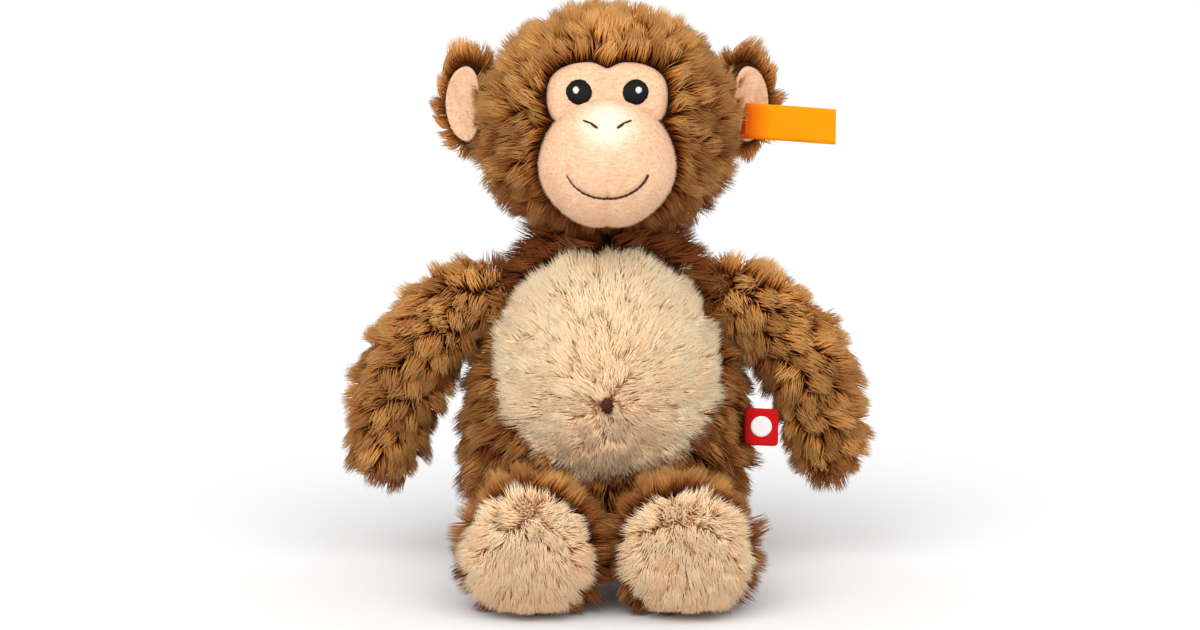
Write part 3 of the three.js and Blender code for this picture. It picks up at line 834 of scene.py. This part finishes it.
def grow_pile(name, finish, roots, outward, comb, rng, *, length, gap, lift, lay=1.0,
              tousle=0.5, stray=0.3, gather=0.46, thick=0.21, tone=0.5, tone_spread=0.15,
              crest_light=0.3, wave=0.6, cuts=1, longer=None, clear=None, floor=FLOOR_GAP):
    """Pile from roots. comb gives, for places and directions, the way the pile is brushed.
    Lengths are millimetres. lift is how far it stands up, against lay along the brushing,
    crest how much paler a lock's middle is than its edge, which is painted light on each lock and
    painted shade between locks, longer a factor for each place."""
    count = len(roots)
    middles = spaced(roots[:5000], gap * MM * rng.uniform(0.55, 1.65, 5000))
    lock_root, lock_out = roots[middles], outward[middles]
    locks = len(middles)
    wander = flat_to(rng.normal(size=(locks, 3)), lock_out)
    lock_lean = lock_out * lift * rng.uniform(0.7, 1.3, (locks, 1))
    lock_lean += lay * flat_to(comb(lock_root, lock_out), lock_out)
    lock_lean += unit(wander) * tousle * rng.uniform(0.3, 1.2, (locks, 1))
    lock_long = length * MM * rng.uniform(0.75, 1.2, locks)
    if longer is not None:
        lock_long *= longer(lock_root)
    lock_tone = rng.normal(0, tone_spread, locks)
    lock_phase = rng.uniform(0, math.tau, locks)
    joined = np.empty(count, int)
    for first in range(0, count, 2000):
        some = roots[first:first + 2000]
        some = some + rng.normal(0, 0.12 * gap * MM, some.shape)
        joined[first:first + 2000] = ((some[:, None] - lock_root[None]) ** 2).sum(2).argmin(1)
    out_of_middle = np.linalg.norm(roots - lock_root[joined], axis=1) / (gap * MM)
    long = lock_long[joined] * rng.uniform(0.8, 1.08, count)
    long *= 1 - 0.22 * np.clip(out_of_middle, 0, 1.2) ** 2
    lean = lock_lean[joined] + stray * flat_to(rng.normal(size=(count, 3)), outward)
    own = curves(roots, outward, lean, long)
    lead = curves(lock_root, lock_out, lock_lean, lock_long)[joined]
    t = np.linspace(0, 1, STATIONS)[None, :, None]
    keep_apart = (roots - lock_root[joined])[:, None] * 0.25
    paths = own + gather * t**1.4 * (lead + keep_apart - own)
    side = unit(np.cross(lean, outward))[:, None]
    paths += side * wave * MM * t * np.sin(math.tau * 0.9 * t + lock_phase[joined][:, None, None])
    paths[:, :, 2] = np.maximum(paths[:, :, 2], floor)
    shade = (tone(roots, outward) if callable(tone) else np.full(count, tone)) + lock_tone[joined]
    # The middle of each lock is painted paler and its edge darker: painted light on the lock and painted
    # shade between locks.
    shade += rng.normal(0, 0.07, count) + crest_light * (0.45 - np.clip(out_of_middle, 0, 1))
    radius = thick * MM * rng.uniform(0.75, 1.2, count)
    if clear is not None:
        stays = ~clear(paths)
        paths, radius, outward, shade = paths[stays], radius[stays], outward[stays], shade[stays]
    pile = lay_along(
        name, finish, spike(cuts), paths, radius,
        lambda along: (1 - along**3) * (0.8 + 0.5 * along), outward + 1e-3, shade,
    )
    print(f"{name}: {len(paths)} fibres in {locks} locks")
    return pile


def covered_by(trees, roots, outward, near, above=14 * MM):
    """Where a root lies under one of the surfaces, or very near it."""
    hidden = np.zeros(len(roots), bool)
    for i, (root, way) in enumerate(zip(roots, outward)):
        root, way = Vector(root), Vector(way)
        hidden[i] = any(
            tree.find_nearest(root, near)[0] is not None
            or tree.ray_cast(root, way, above)[0] is not None
            for tree in trees
        )
    return hidden


# %% [markdown]
# ## The brown coat
#
# The pile is brushed away from the face all round, so the brow sweeps up and the cheeks
# sweep out. On the body it falls down and away from the belly, on the arms it runs down to
# the hand, and round the feet it stands out past the sole like a collar. The pile is painted
# paler towards the crown and on faces that look up, and darker towards the chin, under the head
# and on faces that look down: painted light from above and painted shade below. The lap's
# pile is a darker tone all over.

# %% Head coat
FACE_MIDDLE = np.array((0, -42, 176)) * MM
face_trees = [surface_of(panel), surface_of(muzzle)]


def away_from(point, fall):
    """Brushed away from a point, with some fall towards the ground."""
    def comb(places, normals):
        way = unit(flat_to(places - point, normals))
        way[:, 2] -= fall
        return way
    return comb


# Painted light: the pile is paler towards the crown and darker towards the chin, as lit from above.
def head_tone_lit_from_above(places, normals):
    height = (places[:, 2] - HEAD_MIDDLE[2]) / HEAD_HALF[2]
    return 0.44 + 0.3 * np.clip(height, -1, 1) ** 3 + 0.16 * height


NECK, NECK_BARE = np.array((0, 0, 103)), 35
rng = np.random.default_rng(11)
roots, outward = sow(skins["head"], 38000, rng)
bare = covered_by(face_trees, roots, outward, 0.5 * MM)
bare |= np.linalg.norm(roots / MM - NECK, axis=1) < NECK_BARE
roots, outward = roots[~bare], outward[~bare]
front = roots[:, 1] < 4 * MM
for part, chosen in (("front", front), ("back", ~front)):
    pile = grow_pile(
        f"head_pile_{part}", brown_pile, roots[chosen], outward[chosen], away_from(FACE_MIDDLE, 0.1), rng,
        length=12.5, gap=7.2, lift=0.55, lay=0.7, tousle=0.6, tone=head_tone_lit_from_above,
    )
    place_piece(pile, "head", "brown_plush")

# %% Torso coat
BELLY_POINT = np.array((0, -46, 92)) * MM


SHOULDER_LOW, SHOULDER_RISE = 92 * MM, 14 * MM


# Painted light and shade: paler where the pile faces up, and painted dark as shade under the head, round
# the neck.
def torso_tone_and_shade(places, normals):
    collar = np.clip((places[:, 2] - 100 * MM) / (22 * MM), 0, 1)
    return 0.28 + 0.08 * normals[:, 2] - 0.6 * collar * (np.abs(places[:, 0]) < 40 * MM)


def torso_comb(places, normals):
    """Down and away from the belly, but over the shoulders out to the sides."""
    way = away_from(BELLY_POINT, 0.8)(places, normals)
    shoulder = np.clip((places[:, 2:] - SHOULDER_LOW) / SHOULDER_RISE, 0, 1)
    outwards = np.sign(places[:, :1]) * (1.0, 0, 0) + (0, 0, -0.15)
    return way * (1 - shoulder) + outwards * shoulder


def torso_longer(places):
    """The collar's pile is fluffed out, and so is the right flank's."""
    shoulder = np.clip((places[:, 2] - SHOULDER_LOW) / SHOULDER_RISE, 0, 1)
    flank = (places[:, 0] < -30 * MM) * np.clip((70 * MM - places[:, 2]) / (20 * MM), 0, 1)
    return 1 + 0.35 * shoulder + 0.3 * flank


LABEL_ROOM = 1 * MM


def before_label(paths):
    """Fibres that would hang in front of the side label. They are left out whole, so some
    backing is bare beside the label, as the toy's left side shows."""
    low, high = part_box("side_tag_label")
    x, y, z = (paths[:, :, i] for i in range(3))
    over = (x > low.x - LABEL_ROOM) & (y < high.y + LABEL_ROOM)
    over &= (z > low.z - LABEL_ROOM) & (z < high.z + LABEL_ROOM)
    return over.any(axis=1)


belly_tree = surface_of(belly)
roots, outward = sow(skins["torso"], 42000, rng)
bare = covered_by([belly_tree], roots, outward, 1.2 * MM, 6 * MM) & (roots[:, 1] < 0)
bare |= outward[:, 2] < -0.8
roots, outward = roots[~bare], outward[~bare]
parts = {
    "front_left": (roots[:, 1] < 0) & (roots[:, 0] > 0),
    "front_right": (roots[:, 1] < 0) & (roots[:, 0] <= 0),
    "back": roots[:, 1] >= 0,
}
for part, chosen in parts.items():
    pile = grow_pile(
        f"torso_pile_{part}", brown_pile, roots[chosen], outward[chosen], torso_comb, rng,
        length=12.5, gap=7.5, lift=0.6, lay=0.65, tousle=0.55, tone=torso_tone_and_shade,
        longer=torso_longer, clear=before_label,
    )
    place_piece(pile, "torso", "brown_plush")

# %% Arm coats
ARM_TIP = np.array((38.5, 0, -62)) * MM


# Painted light and shade: the pile is paler where it faces up and darker where it faces down.
def limb_tone_lit_from_above(places, normals):
    return 0.64 + 0.16 * normals[:, 2] - 0.14 * np.clip(-normals[:, 2], 0, 1)


for side, sign in SIDES.items():
    run = unit(ARM_TIP * (sign, 1, 1))

    def arm_comb(places, normals, run=run, sign=sign):
        return run + np.array((0.25 * sign, -0.1, 0))

    roots, outward = sow(skins["arm_" + side], 15000, rng)
    pile = grow_pile(
        f"arm_{side}_pile", brown_pile, roots, outward, arm_comb, rng,
        length=12, gap=7, lift=0.5, lay=0.65, tousle=0.7, tone=limb_tone_lit_from_above, tone_spread=0.18,
    )
    place_piece(pile, "arm_" + side, "brown_plush")

# %% Leg coats
# Painted light: the pile is paler where it faces up.
def leg_tone_lit_from_above(places, normals):
    return 0.16 + 0.16 * normals[:, 2]


for side in SIDES:
    _, facing = leg_frame(side)
    sole_tree = surface_of(soles[side])
    roots, outward = sow(skins["leg_" + side], 14000, rng)
    bare = covered_by([sole_tree], roots, outward, 0.4 * MM, 2 * MM)
    roots, outward = roots[~bare], outward[~bare]

    def leg_comb(places, normals, facing=np.array(facing)):
        return np.broadcast_to(facing, places.shape) * 0.55 + (0, 0, -0.1)

    pile = grow_pile(
        f"leg_{side}_pile", brown_pile, roots, outward, leg_comb, rng,
        length=12.5, gap=7.5, lift=0.95, lay=0.5, tousle=0.35, stray=0.2, tone=leg_tone_lit_from_above,
    )
    place_piece(pile, "leg_" + side, "brown_plush")

# %% [markdown]
# ## The peach pile
#
# The belly's pile is finer and silkier than the brown, and lies flatter. It is brushed away
# from the navel all round, so its ends fringe over the brown at the patch's edge. The soles'
# pile falls from the toes down. Near the edge it turns outwards, and it is trimmed shorter
# there to let the brown collar show.

# %% Belly and sole pile
NAVEL = np.array((0, -46 * MM, NAVEL_HEIGHT))
SOLE_CLEAR = 3.0 * MM


def belly_tone_and_top_light(places, normals):
    """Pale over the chest, warmer round the navel and at the lower edge. The rise of tone with height is
    painted light from above.
    """
    from_navel = np.linalg.norm((places - NAVEL)[:, [0, 2]], axis=1) / (30 * MM)
    height = (places[:, 2] - BELLY_MIDDLE.z) / BELLY_HALF
    return 0.5 + 0.12 * height + 0.35 * np.clip(from_navel, 0, 1)


roots, outward = sow(belly, 60000, rng)
outer = (outward * (roots - (0, 0, BELLY_MIDDLE.z))).sum(1) > 0
roots, outward = roots[outer], outward[outer]
above = roots[:, 2] > BELLY_MIDDLE.z
for part, chosen in (("chest", above), ("lap", ~above)):
    pile = grow_pile(
        f"belly_pile_{part}", peach_pile, roots[chosen], outward[chosen], away_from(NAVEL, 0.05), rng,
        length=11, gap=7, lift=0.3, lay=0.95, tousle=0.26, stray=0.16, gather=0.16,
        thick=0.16, tone=belly_tone_and_top_light, tone_spread=0.12, crest_light=0.12, wave=0.5,
    )
    place_piece(pile, "torso", "peach_plush")
for side in SIDES:
    middle, facing = leg_frame(side)
    roots, outward = sow(soles[side], 20000, rng)
    outer = outward @ np.array(facing) > 0.1
    roots, outward = roots[outer], unit(outward[outer] * 0.75 + np.array(facing) * 0.25)

    def sole_comb(places, normals, middle=np.array(middle)):
        edge = np.clip(np.linalg.norm(places - middle, axis=1, keepdims=True) / SOLE_RADIUS, 0, 1) ** 4
        return unit(places - middle) * (0.25 + 0.75 * edge) + (0, 0, -0.9) * (1 - 0.7 * edge)

    def sole_longer(places, middle=np.array(middle)):
        from_middle = np.linalg.norm(places - middle, axis=1) / SOLE_RADIUS
        return 1 - 0.3 * np.clip(from_middle, 0, 1) ** 3

    # The soles' pile is painted paler higher up: painted light from above.
    pile = grow_pile(
        f"leg_{side}_sole_pile", peach_pile, roots, outward, sole_comb, rng,
        length=13, gap=6.5, lift=0.36, lay=0.9, tousle=0.26, stray=0.15, gather=0.2, thick=0.17,
        tone=lambda p, n: 0.5 + 0.01 * (p[:, 2] / MM - 24), tone_spread=0.14, crest_light=0.16,
        wave=0.4, longer=sole_longer, floor=SOLE_CLEAR,
    )
    place_piece(pile, "leg_" + side, "peach_plush")

# %% [markdown]
# ## Velour's nap
#
# Velour is pile as well, but only a millimetre long and brushed flat to one side. A fuzz of
# tiny spikes gives the face its soft edge, and the finish's streaks do the rest.

# %% Nap on the face
NAP = {
    "length": 0.9, "lift": 0.7, "lay": 0.6, "tousle": 0.2, "stray": 0.3, "gather": 0.1,
    "thick": 0.06, "tone_spread": 0.1, "wave": 0, "cuts": 0,
}


def brushed(way):
    return lambda places, normals: np.broadcast_to(np.array(way, float), places.shape)


def under_stitches(places):
    """Where the eyes, the nostrils or the smile are sewn, so the nap is held down."""
    x, z = np.abs(places[:, 0]), places[:, 2]
    middle, half = node_middle("eye_left")
    eye = np.hypot(x - middle.x, z - middle.z) < half.x + 0.3 * MM
    height = z - MUZZLE_MIDDLE[2]
    smile = (np.abs(height - mouth_height(x)) < 0.9 * MM) & (x < MOUTH_HALF + 0.5 * MM)
    nostril = nostril_line(x, height)[1] < 0.7 * MM
    return (eye | smile | nostril) & (places[:, 1] < -30 * MM)


# Painted highlight: the nap is painted paler near the nose bridge, where it faces the light.
def bridge_highlight_tone(places, normals):
    off = np.linalg.norm(places - np.array(BRIDGE_HIGHLIGHT), axis=1) / HIGHLIGHT_REACH
    return 0.6 + 0.6 * np.clip(1.2 - off, 0, 1)


for cloth, count, name in ((muzzle, 24000, "muzzle_nap"), (panel, 10000, "eye_panel_nap")):
    roots, outward = sow(cloth, count, rng)
    seen = outward[:, 1] < (0.25 if cloth is muzzle else -0.2)
    if cloth is panel:
        seen &= ~covered_by([face_trees[1]], roots, outward, 0.5 * MM, 8 * MM)
    seen &= ~under_stitches(roots)
    roots, outward = roots[seen], outward[seen]
    nap = grow_pile(
        name, velour_fuzz, roots, outward, brushed((1, 0, -0.35)), rng,
        gap=3.2, tone=bridge_highlight_tone, crest_light=0, **NAP,
    )
    place_piece(nap, "head", "peach_velour")

# %% [markdown]
# ## Embroidery
#
# The eyes are satin stitch: threads laid side by side until they fill a disc, each a little
# longer or shorter than the next. The nostrils are two stitches each, bent where they meet, and
# the smile is a row of back stitches. Every stitch is a capsule laid on the cloth below it.


# %% Satin stitch
def rounded(power):
    """The profile of a thread that keeps its thickness and closes at both ends."""
    return lambda along: np.clip(1 - np.abs(2 * along - 1) ** power, 0, 1) ** 0.5


def forwards(count):
    return np.tile((0.0, -1.0, 0.0), (count, 1))


def satin(name, finish, trees, middle, half, turn, pitch, radius, rise, rng, ragged=0.12):
    """Threads side by side that fill an ellipse, laid on the first surface behind them."""
    count = int(2 * half[0] / pitch)
    offsets = (np.arange(count) + 0.5) / count * 2 - 1
    paths = np.empty((count, 7, 3))
    for i, offset in enumerate(offsets):
        reach = half[1] * math.sqrt(max(1 - offset * offset, 0.05)) + rng.normal(0, ragged) * MM
        for j, along in enumerate(np.linspace(-1, 1, 7)):
            across, up = offset * half[0], along * reach
            x = middle[0] + across * math.cos(turn) - up * math.sin(turn)
            z = middle[1] + across * math.sin(turn) + up * math.cos(turn)
            spot = min((drop_on(tree, x, z) for tree in trees), key=lambda p: p.y)
            crown = rise * (1 - 0.8 * along**4) * (1 - 0.6 * offset**4)
            paths[i, j] = (x, spot.y - crown, z)
    thick = np.full(count, radius)
    return lay_along(name, finish, capsule(6, 8), paths, thick, rounded(6), forwards(count))


EYE_TURN = 0.12
GLINT_OFF, GLINT_HALF = (1.15 * MM, 0.8 * MM), (1.15 * MM, 1.55 * MM)
for side, sign in SIDES.items():
    middle, half = node_middle("eye_" + side)
    eye = satin(
        f"eye_{side}_satin", black_thread, face_trees[:1], (middle.x, middle.z), (half.x, half.z),
        EYE_TURN * sign, 0.3 * MM, 0.3 * MM, 0.75 * MM, rng,
    )
    place_piece(eye, "head", "black_thread", "eye_" + side)
    shine = satin(
        f"eye_{side}_glint", white_thread, face_trees[:1],
        (middle.x + GLINT_OFF[0] * sign, middle.z + GLINT_OFF[1]), GLINT_HALF,
        EYE_TURN * sign, 0.42 * MM, 0.28 * MM, 1.3 * MM, rng,
    )
    place_piece(shine, "head", "white_thread", "eye_glint_" + side)

# %% Nostrils and smile
def stitches(name, finish, spots, radius, stagger, rng):
    """A stitch from each spot to the next, laid on the muzzle, each nudged off the line."""
    count = len(spots) - 1
    paths = np.empty((count, 5, 3))
    for i in range(count):
        nudge = stagger * (1 if i % 2 else -1) * MM + rng.normal(0, 0.04) * MM
        for j, share in enumerate(np.linspace(-0.06, 1.06, 5)):
            x, z = spots[i] * (1 - share) + spots[i + 1] * share
            spot = drop_on(face_trees[1], x, z + nudge * (1 - abs(2 * share - 1)))
            lift = 0.22 * MM * (1 - (2 * share - 1) ** 2)
            paths[i, j] = (spot.x, spot.y - 0.1 * MM - lift, spot.z)
    return lay_along(name, finish, capsule(8, 8), paths, radius, rounded(4), forwards(count))


SMILE_STITCHES = 18


for side, sign in SIDES.items():
    outer = np.array((NOSTRIL_OUTER[0] * sign, MUZZLE_MIDDLE[2] + NOSTRIL_OUTER[1]))
    inner = np.array((NOSTRIL_INNER[0] * sign, MUZZLE_MIDDLE[2] + NOSTRIL_INNER[1]))
    bow = np.array((0.0, 0.5 * MM))
    lines = [outer, (outer + inner) / 2 + bow, inner]
    thickness = np.array((0.4, 0.52)) * MM
    nostril = stitches(f"nostril_{side}_stitch", brown_thread, lines, thickness, 0, rng)
    place_piece(nostril, "head", "brown_thread", "nostril_" + side)
across = np.linspace(-MOUTH_HALF, MOUTH_HALF, 200)
curve = np.stack([across, MUZZLE_MIDDLE[2] + mouth_height(across)], axis=1)
walked = np.concatenate([[0], np.cumsum(np.linalg.norm(np.diff(curve, axis=0), axis=1))])
steps = np.linspace(0, walked[-1], SMILE_STITCHES + 1)
spots = np.stack([np.interp(steps, walked, curve[:, i]) for i in range(2)], axis=1)
order = np.arange(SMILE_STITCHES)
thickness = np.interp(order, [0, 4, SMILE_STITCHES - 1], [0.22, 0.4, 0.52]) * MM
smile = stitches("mouth_back_stitch", brown_thread, spots, thickness, 0.06, rng)
place_piece(smile, "head", "brown_thread", "mouth_stitch")
print("smile:", round(walked[-1] / MM, 1), "mm in", SMILE_STITCHES, "stitches")

# %% Navel
KNOT_THREADS, KNOT_REACH, KNOT_THICK = 5, 3.4 * MM, 1.05 * MM
low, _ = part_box("navel_knot")
knot_middle, _ = node_middle("navel_knot")
centre = np.array((knot_middle.x, low.y - 0.4 * MM, knot_middle.z))
bow = np.array((0, -1.6, 0)) * MM
paths = []
for turn in np.linspace(0, math.pi, KNOT_THREADS, endpoint=False):
    run = np.array((0.75 * math.cos(turn), 0, math.sin(turn))) * KNOT_REACH
    paths.append([centre + run * s + bow * (1 - s * s) for s in np.linspace(-1, 1, 6)])
knot = lay_along(
    "navel_stitch", brown_thread, capsule(8, 8), np.array(paths),
    np.full(KNOT_THREADS, KNOT_THICK), rounded(3), forwards(KNOT_THREADS),
)
place_piece(knot, "torso", "brown_thread", "navel_knot")

# %% [markdown]
# ## Ears
#
# An ear is a leaf of peach velour laid on a leaf of brown plush and cupped, so that its rim
# curls forward. The lining has one soft fold that runs up from the root. Long pile on the
# back stands out past the rim in tufts, most of all at the top.

# %% Ear leaves and tufts
EAR_TURN = math.radians(40)
EAR_ROOT = Vector((51.6, 4, 184)) * MM
EAR_OUT, EAR_HIGH = 9.3 * MM, 16.3 * MM
LEAVES = {
    "lining": (-0.5 * MM, 0.9, 1.2 * MM, peach_velour, "peach_velour"),
    "back": (2.0 * MM, 1.0, 2.2 * MM, brown_backing, "brown_plush"),
}


def ear_point(across, up, behind, sign):
    """A place on the ear's leaf: across and up in its unit disc, behind in metres."""
    out = 5.8 * MM + across * EAR_OUT
    radius = min(math.hypot(across, up), 1)
    cup = 3.4 * MM * radius**2.4 * (0.4 + 0.6 * max(across, 0))
    fold_off = (across - 0.15) - 0.55 * (up - 0.1)
    fold = 1.7 * MM * math.exp(-((fold_off / 0.26) ** 2)) * (1 - radius**2) * (0.5 + 0.5 * up)
    depth = cup + fold - behind
    return Vector((
        sign * (EAR_ROOT.x + out * math.cos(EAR_TURN) + depth * math.sin(EAR_TURN)),
        EAR_ROOT.y + out * math.sin(EAR_TURN) - depth * math.cos(EAR_TURN),
        EAR_ROOT.z + up * EAR_HIGH * (1 - 0.12 * across),
    ))


for side, sign in SIDES.items():
    leaves = {}
    for leaf, (behind, size, wall, finish, slot) in LEAVES.items():
        form = spun_disc(14, 56)
        for vertex in form.verts:
            vertex.co = ear_point(vertex.co.x * size, vertex.co.z * size, behind, sign)
        bmesh.ops.recalc_face_normals(form, faces=form.faces)
        if sum(face.normal.y for face in form.faces) > 0:
            bmesh.ops.reverse_faces(form, faces=form.faces)
        leaves[leaf] = make_piece(f"ear_{side}_{leaf}_cloth", form, finish)
        give_thickness(leaves[leaf], wall)
        place_piece(leaves[leaf], "ear_" + side, slot, f"ear_{side}_{leaf}")
    roots, outward = sow(leaves["lining"], 4000, rng)
    seen = outward[:, 1] < 0.1
    nap = grow_pile(
        f"ear_{side}_lining_nap", velour_fuzz, roots[seen], outward[seen],
        brushed((0.2 * sign, 0, -1)), rng, gap=3, tone=0.8, **NAP,
    )
    place_piece(nap, "ear_" + side, "peach_velour")
    roots, outward = sow(leaves["back"], 8500, rng)
    seen = outward[:, 1] > -0.6
    roots, outward = roots[seen], outward[seen]
    ear_middle = np.array((EAR_ROOT.x * sign, EAR_ROOT.y, EAR_ROOT.z - 6 * MM))
    tufts = grow_pile(
        f"ear_{side}_pile", brown_pile, roots, outward, away_from(ear_middle, -0.15), rng,
        length=10, gap=5.4, lift=0.35, lay=0.9, tousle=0.5, tone=0.62,
        longer=lambda places: 1 + 0.35 * np.clip((places[:, 2] - EAR_ROOT.z) / EAR_HIGH, 0, 1),
    )
    place_piece(tufts, "ear_" + side, "brown_plush")

# %% [markdown]
# ## Tags
#
# Both tags are woven tape. The ear's is a length of yellow tape folded end to end and caught
# in the ear by its two ends, so it is one sheet bent in a long flat loop. The side label is a
# single red tab with rounded corners and a plain white disc. Neither carries any words.


# %% Tape
def tape_finish(name, shade, painted_seam_shade, root_x, free_x):
    """Close ribs across a tape, painted darker between the ribs as painted shade, and a deeper colour
    where it goes into its seam, which is painted shade.
    """
    finish, tree, shader = new_finish(name, Roughness=0.6, Specular_IOR_Level=0.06)
    place = object_place(tree)
    ribs = add_waves(tree, place, 620, 0.3, bands_direction="Z")
    warp = add_waves(tree, place, 900, 0.3, bands_direction="X")
    split = add_node(tree, "ShaderNodeSeparateXYZ", {"Vector": place})
    run = add_node(tree, "ShaderNodeMapRange", {
        "Value": split.outputs["X"], "From Min": root_x, "From Max": free_x,
    })
    ground = add_ramp(tree, run.outputs["Result"], [(0.0, painted_seam_shade), (0.3, shade), (1.0, shade)])
    woven = add_mix(tree, ribs, darkened(shade, 0.82), (1, 1, 1, 1))
    tree.links.new(add_mix(tree, 0.35, ground, woven, "MULTIPLY"), shader.inputs["Base Color"])
    weave = add_node(tree, "ShaderNodeMath", {0: ribs, 1: warp}, operation="ADD")
    add_bump(tree, shader, weave.outputs["Value"], 0.35, 0.08 * MM)
    return finish


low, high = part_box("ear_tag_ribbon")
yellow_tape = tape_finish("yellow_tape", colour(246, 152, 0), colour(206, 70, 0), low.x, high.x)
TAPE_WIDTH, TAPE_THICK = high.z - low.z, 0.4 * MM
half_gap = (high.y - low.y) / 2 - TAPE_THICK
run_x = high.x - low.x - half_gap
turns = np.linspace(0, math.pi, 9)[1:-1]
line = [(low.x + run_x * s, -half_gap) for s in np.linspace(0, 1, 26)]
line += [(low.x + run_x + half_gap * math.sin(t), -half_gap * math.cos(t)) for t in turns]
line += [(low.x + run_x * s, half_gap) for s in np.linspace(1, 0, 26)]
line = np.array(line)
form = bmesh.new()
bmesh.ops.create_grid(form, x_segments=len(line) - 1, y_segments=8, size=1)
for vertex in form.verts:
    station = round((vertex.co.x + 1) / 2 * (len(line) - 1))
    x, y = line[station]
    share = (x - low.x) / (high.x - low.x)
    middle_y = (low.y + high.y) / 2 - 1.5 * MM * math.sin(math.pi * share) * share
    edge = vertex.co.y
    z = (low.z + high.z) / 2 + edge * TAPE_WIDTH / 2 - 2.4 * MM * share**1.3
    pinch = 0.15 * MM * math.sin(9 * share + 3 * edge)
    vertex.co = Vector((x + 1.1 * MM * edge * (1 - share) ** 3, middle_y + y + pinch, z))
ribbon = make_piece("ear_tag_tape", form, yellow_tape)
give_thickness(ribbon, TAPE_THICK)
place_piece(ribbon, "ear_tag", "yellow_ribbon", "ear_tag_ribbon")

# %% Side label
low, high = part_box("side_tag_label")
red_tape = tape_finish("red_tape", colour(206, 22, 26), colour(150, 10, 14), low.x, high.x)
LABEL_WIDTH, LABEL_HEIGHT, LABEL_THICK = high.x - low.x, high.z - low.z, 0.6 * MM
LABEL_DROOP = 0.04
DISC_RADIUS = 4.2 * MM
form = bmesh.new()
bmesh.ops.create_grid(form, x_segments=16, y_segments=16, size=0.5)
for vertex in form.verts:
    u, v = vertex.co.x, vertex.co.y
    round_off = 0.035 * (abs(2 * u) ** 8) * (abs(2 * v) ** 8)
    bend = 0.5 * MM * math.cos(math.pi * v) * math.cos(math.pi * (u + 0.5) / 2)
    vertex.co = Vector((
        (low.x + high.x) / 2 + (u - math.copysign(round_off, u)) * LABEL_WIDTH,
        low.y + bend * 0.6,
        (low.z + high.z) / 2 + (v - math.copysign(round_off, v)) * LABEL_HEIGHT
        - LABEL_DROOP * (u + 0.5) * LABEL_WIDTH,
    ))
label = make_piece("side_label_tape", form, red_tape)
give_thickness(label, LABEL_THICK)
place_piece(label, "side_tag", "red_label", "side_tag_label")
form = spun_disc(5, 40)
label_tree = surface_of(label)
for vertex in form.verts:
    x = (low.x + high.x) / 2 + vertex.co.x * DISC_RADIUS
    z = (low.z + high.z) / 2 + vertex.co.z * DISC_RADIUS
    vertex.co = Vector((x, drop_on(label_tree, x, z).y - 0.12 * MM, z))
white_tape = tape_finish("white_tape", colour(244, 240, 236), colour(244, 240, 236), low.x, high.x)
spot = make_piece("side_label_disc", form, white_tape)
give_thickness(spot, 0.2 * MM)
place_piece(spot, "side_tag", "white_thread")
print("side label cut to", round(LABEL_WIDTH / MM, 1), "x", round(LABEL_HEIGHT / MM, 1), "mm")

# %% [markdown]
# ## What stays as packed
#
# The closing threads, the tack on the ear tape and the pellet bag have the right shape
# already. They only need their finishes.

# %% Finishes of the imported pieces
bag_cloth = backing_finish("pellet_bag_cloth", colour(198, 188, 166), colour(222, 214, 196))
seam_thread = thread_finish("seam_thread", colour(60, 32, 18), 0.6)
for name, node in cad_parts.items():
    if node.hide_render:
        continue
    finish = bag_cloth if "bag" in name else yellow_tape if name == "ear_tag_stitch" else seam_thread
    node.data.materials.clear()
    node.data.materials.append(finish)
    print(name, "has", finish.name)

# %% [markdown]
# ## The floor
#
# A wide white sheet, plain and matt, that isn't part of the toy.

# %% Floor
form = bmesh.new()
bmesh.ops.create_grid(form, x_segments=4, y_segments=4, size=6)
floor_finish, _, floor_shader = new_finish("floor_paint", Roughness=0.9, Specular_IOR_Level=0.1)
floor_shader.inputs["Base Color"].default_value = (0.83, 0.83, 0.83, 1)
floor = make_piece("floor", form, floor_finish)
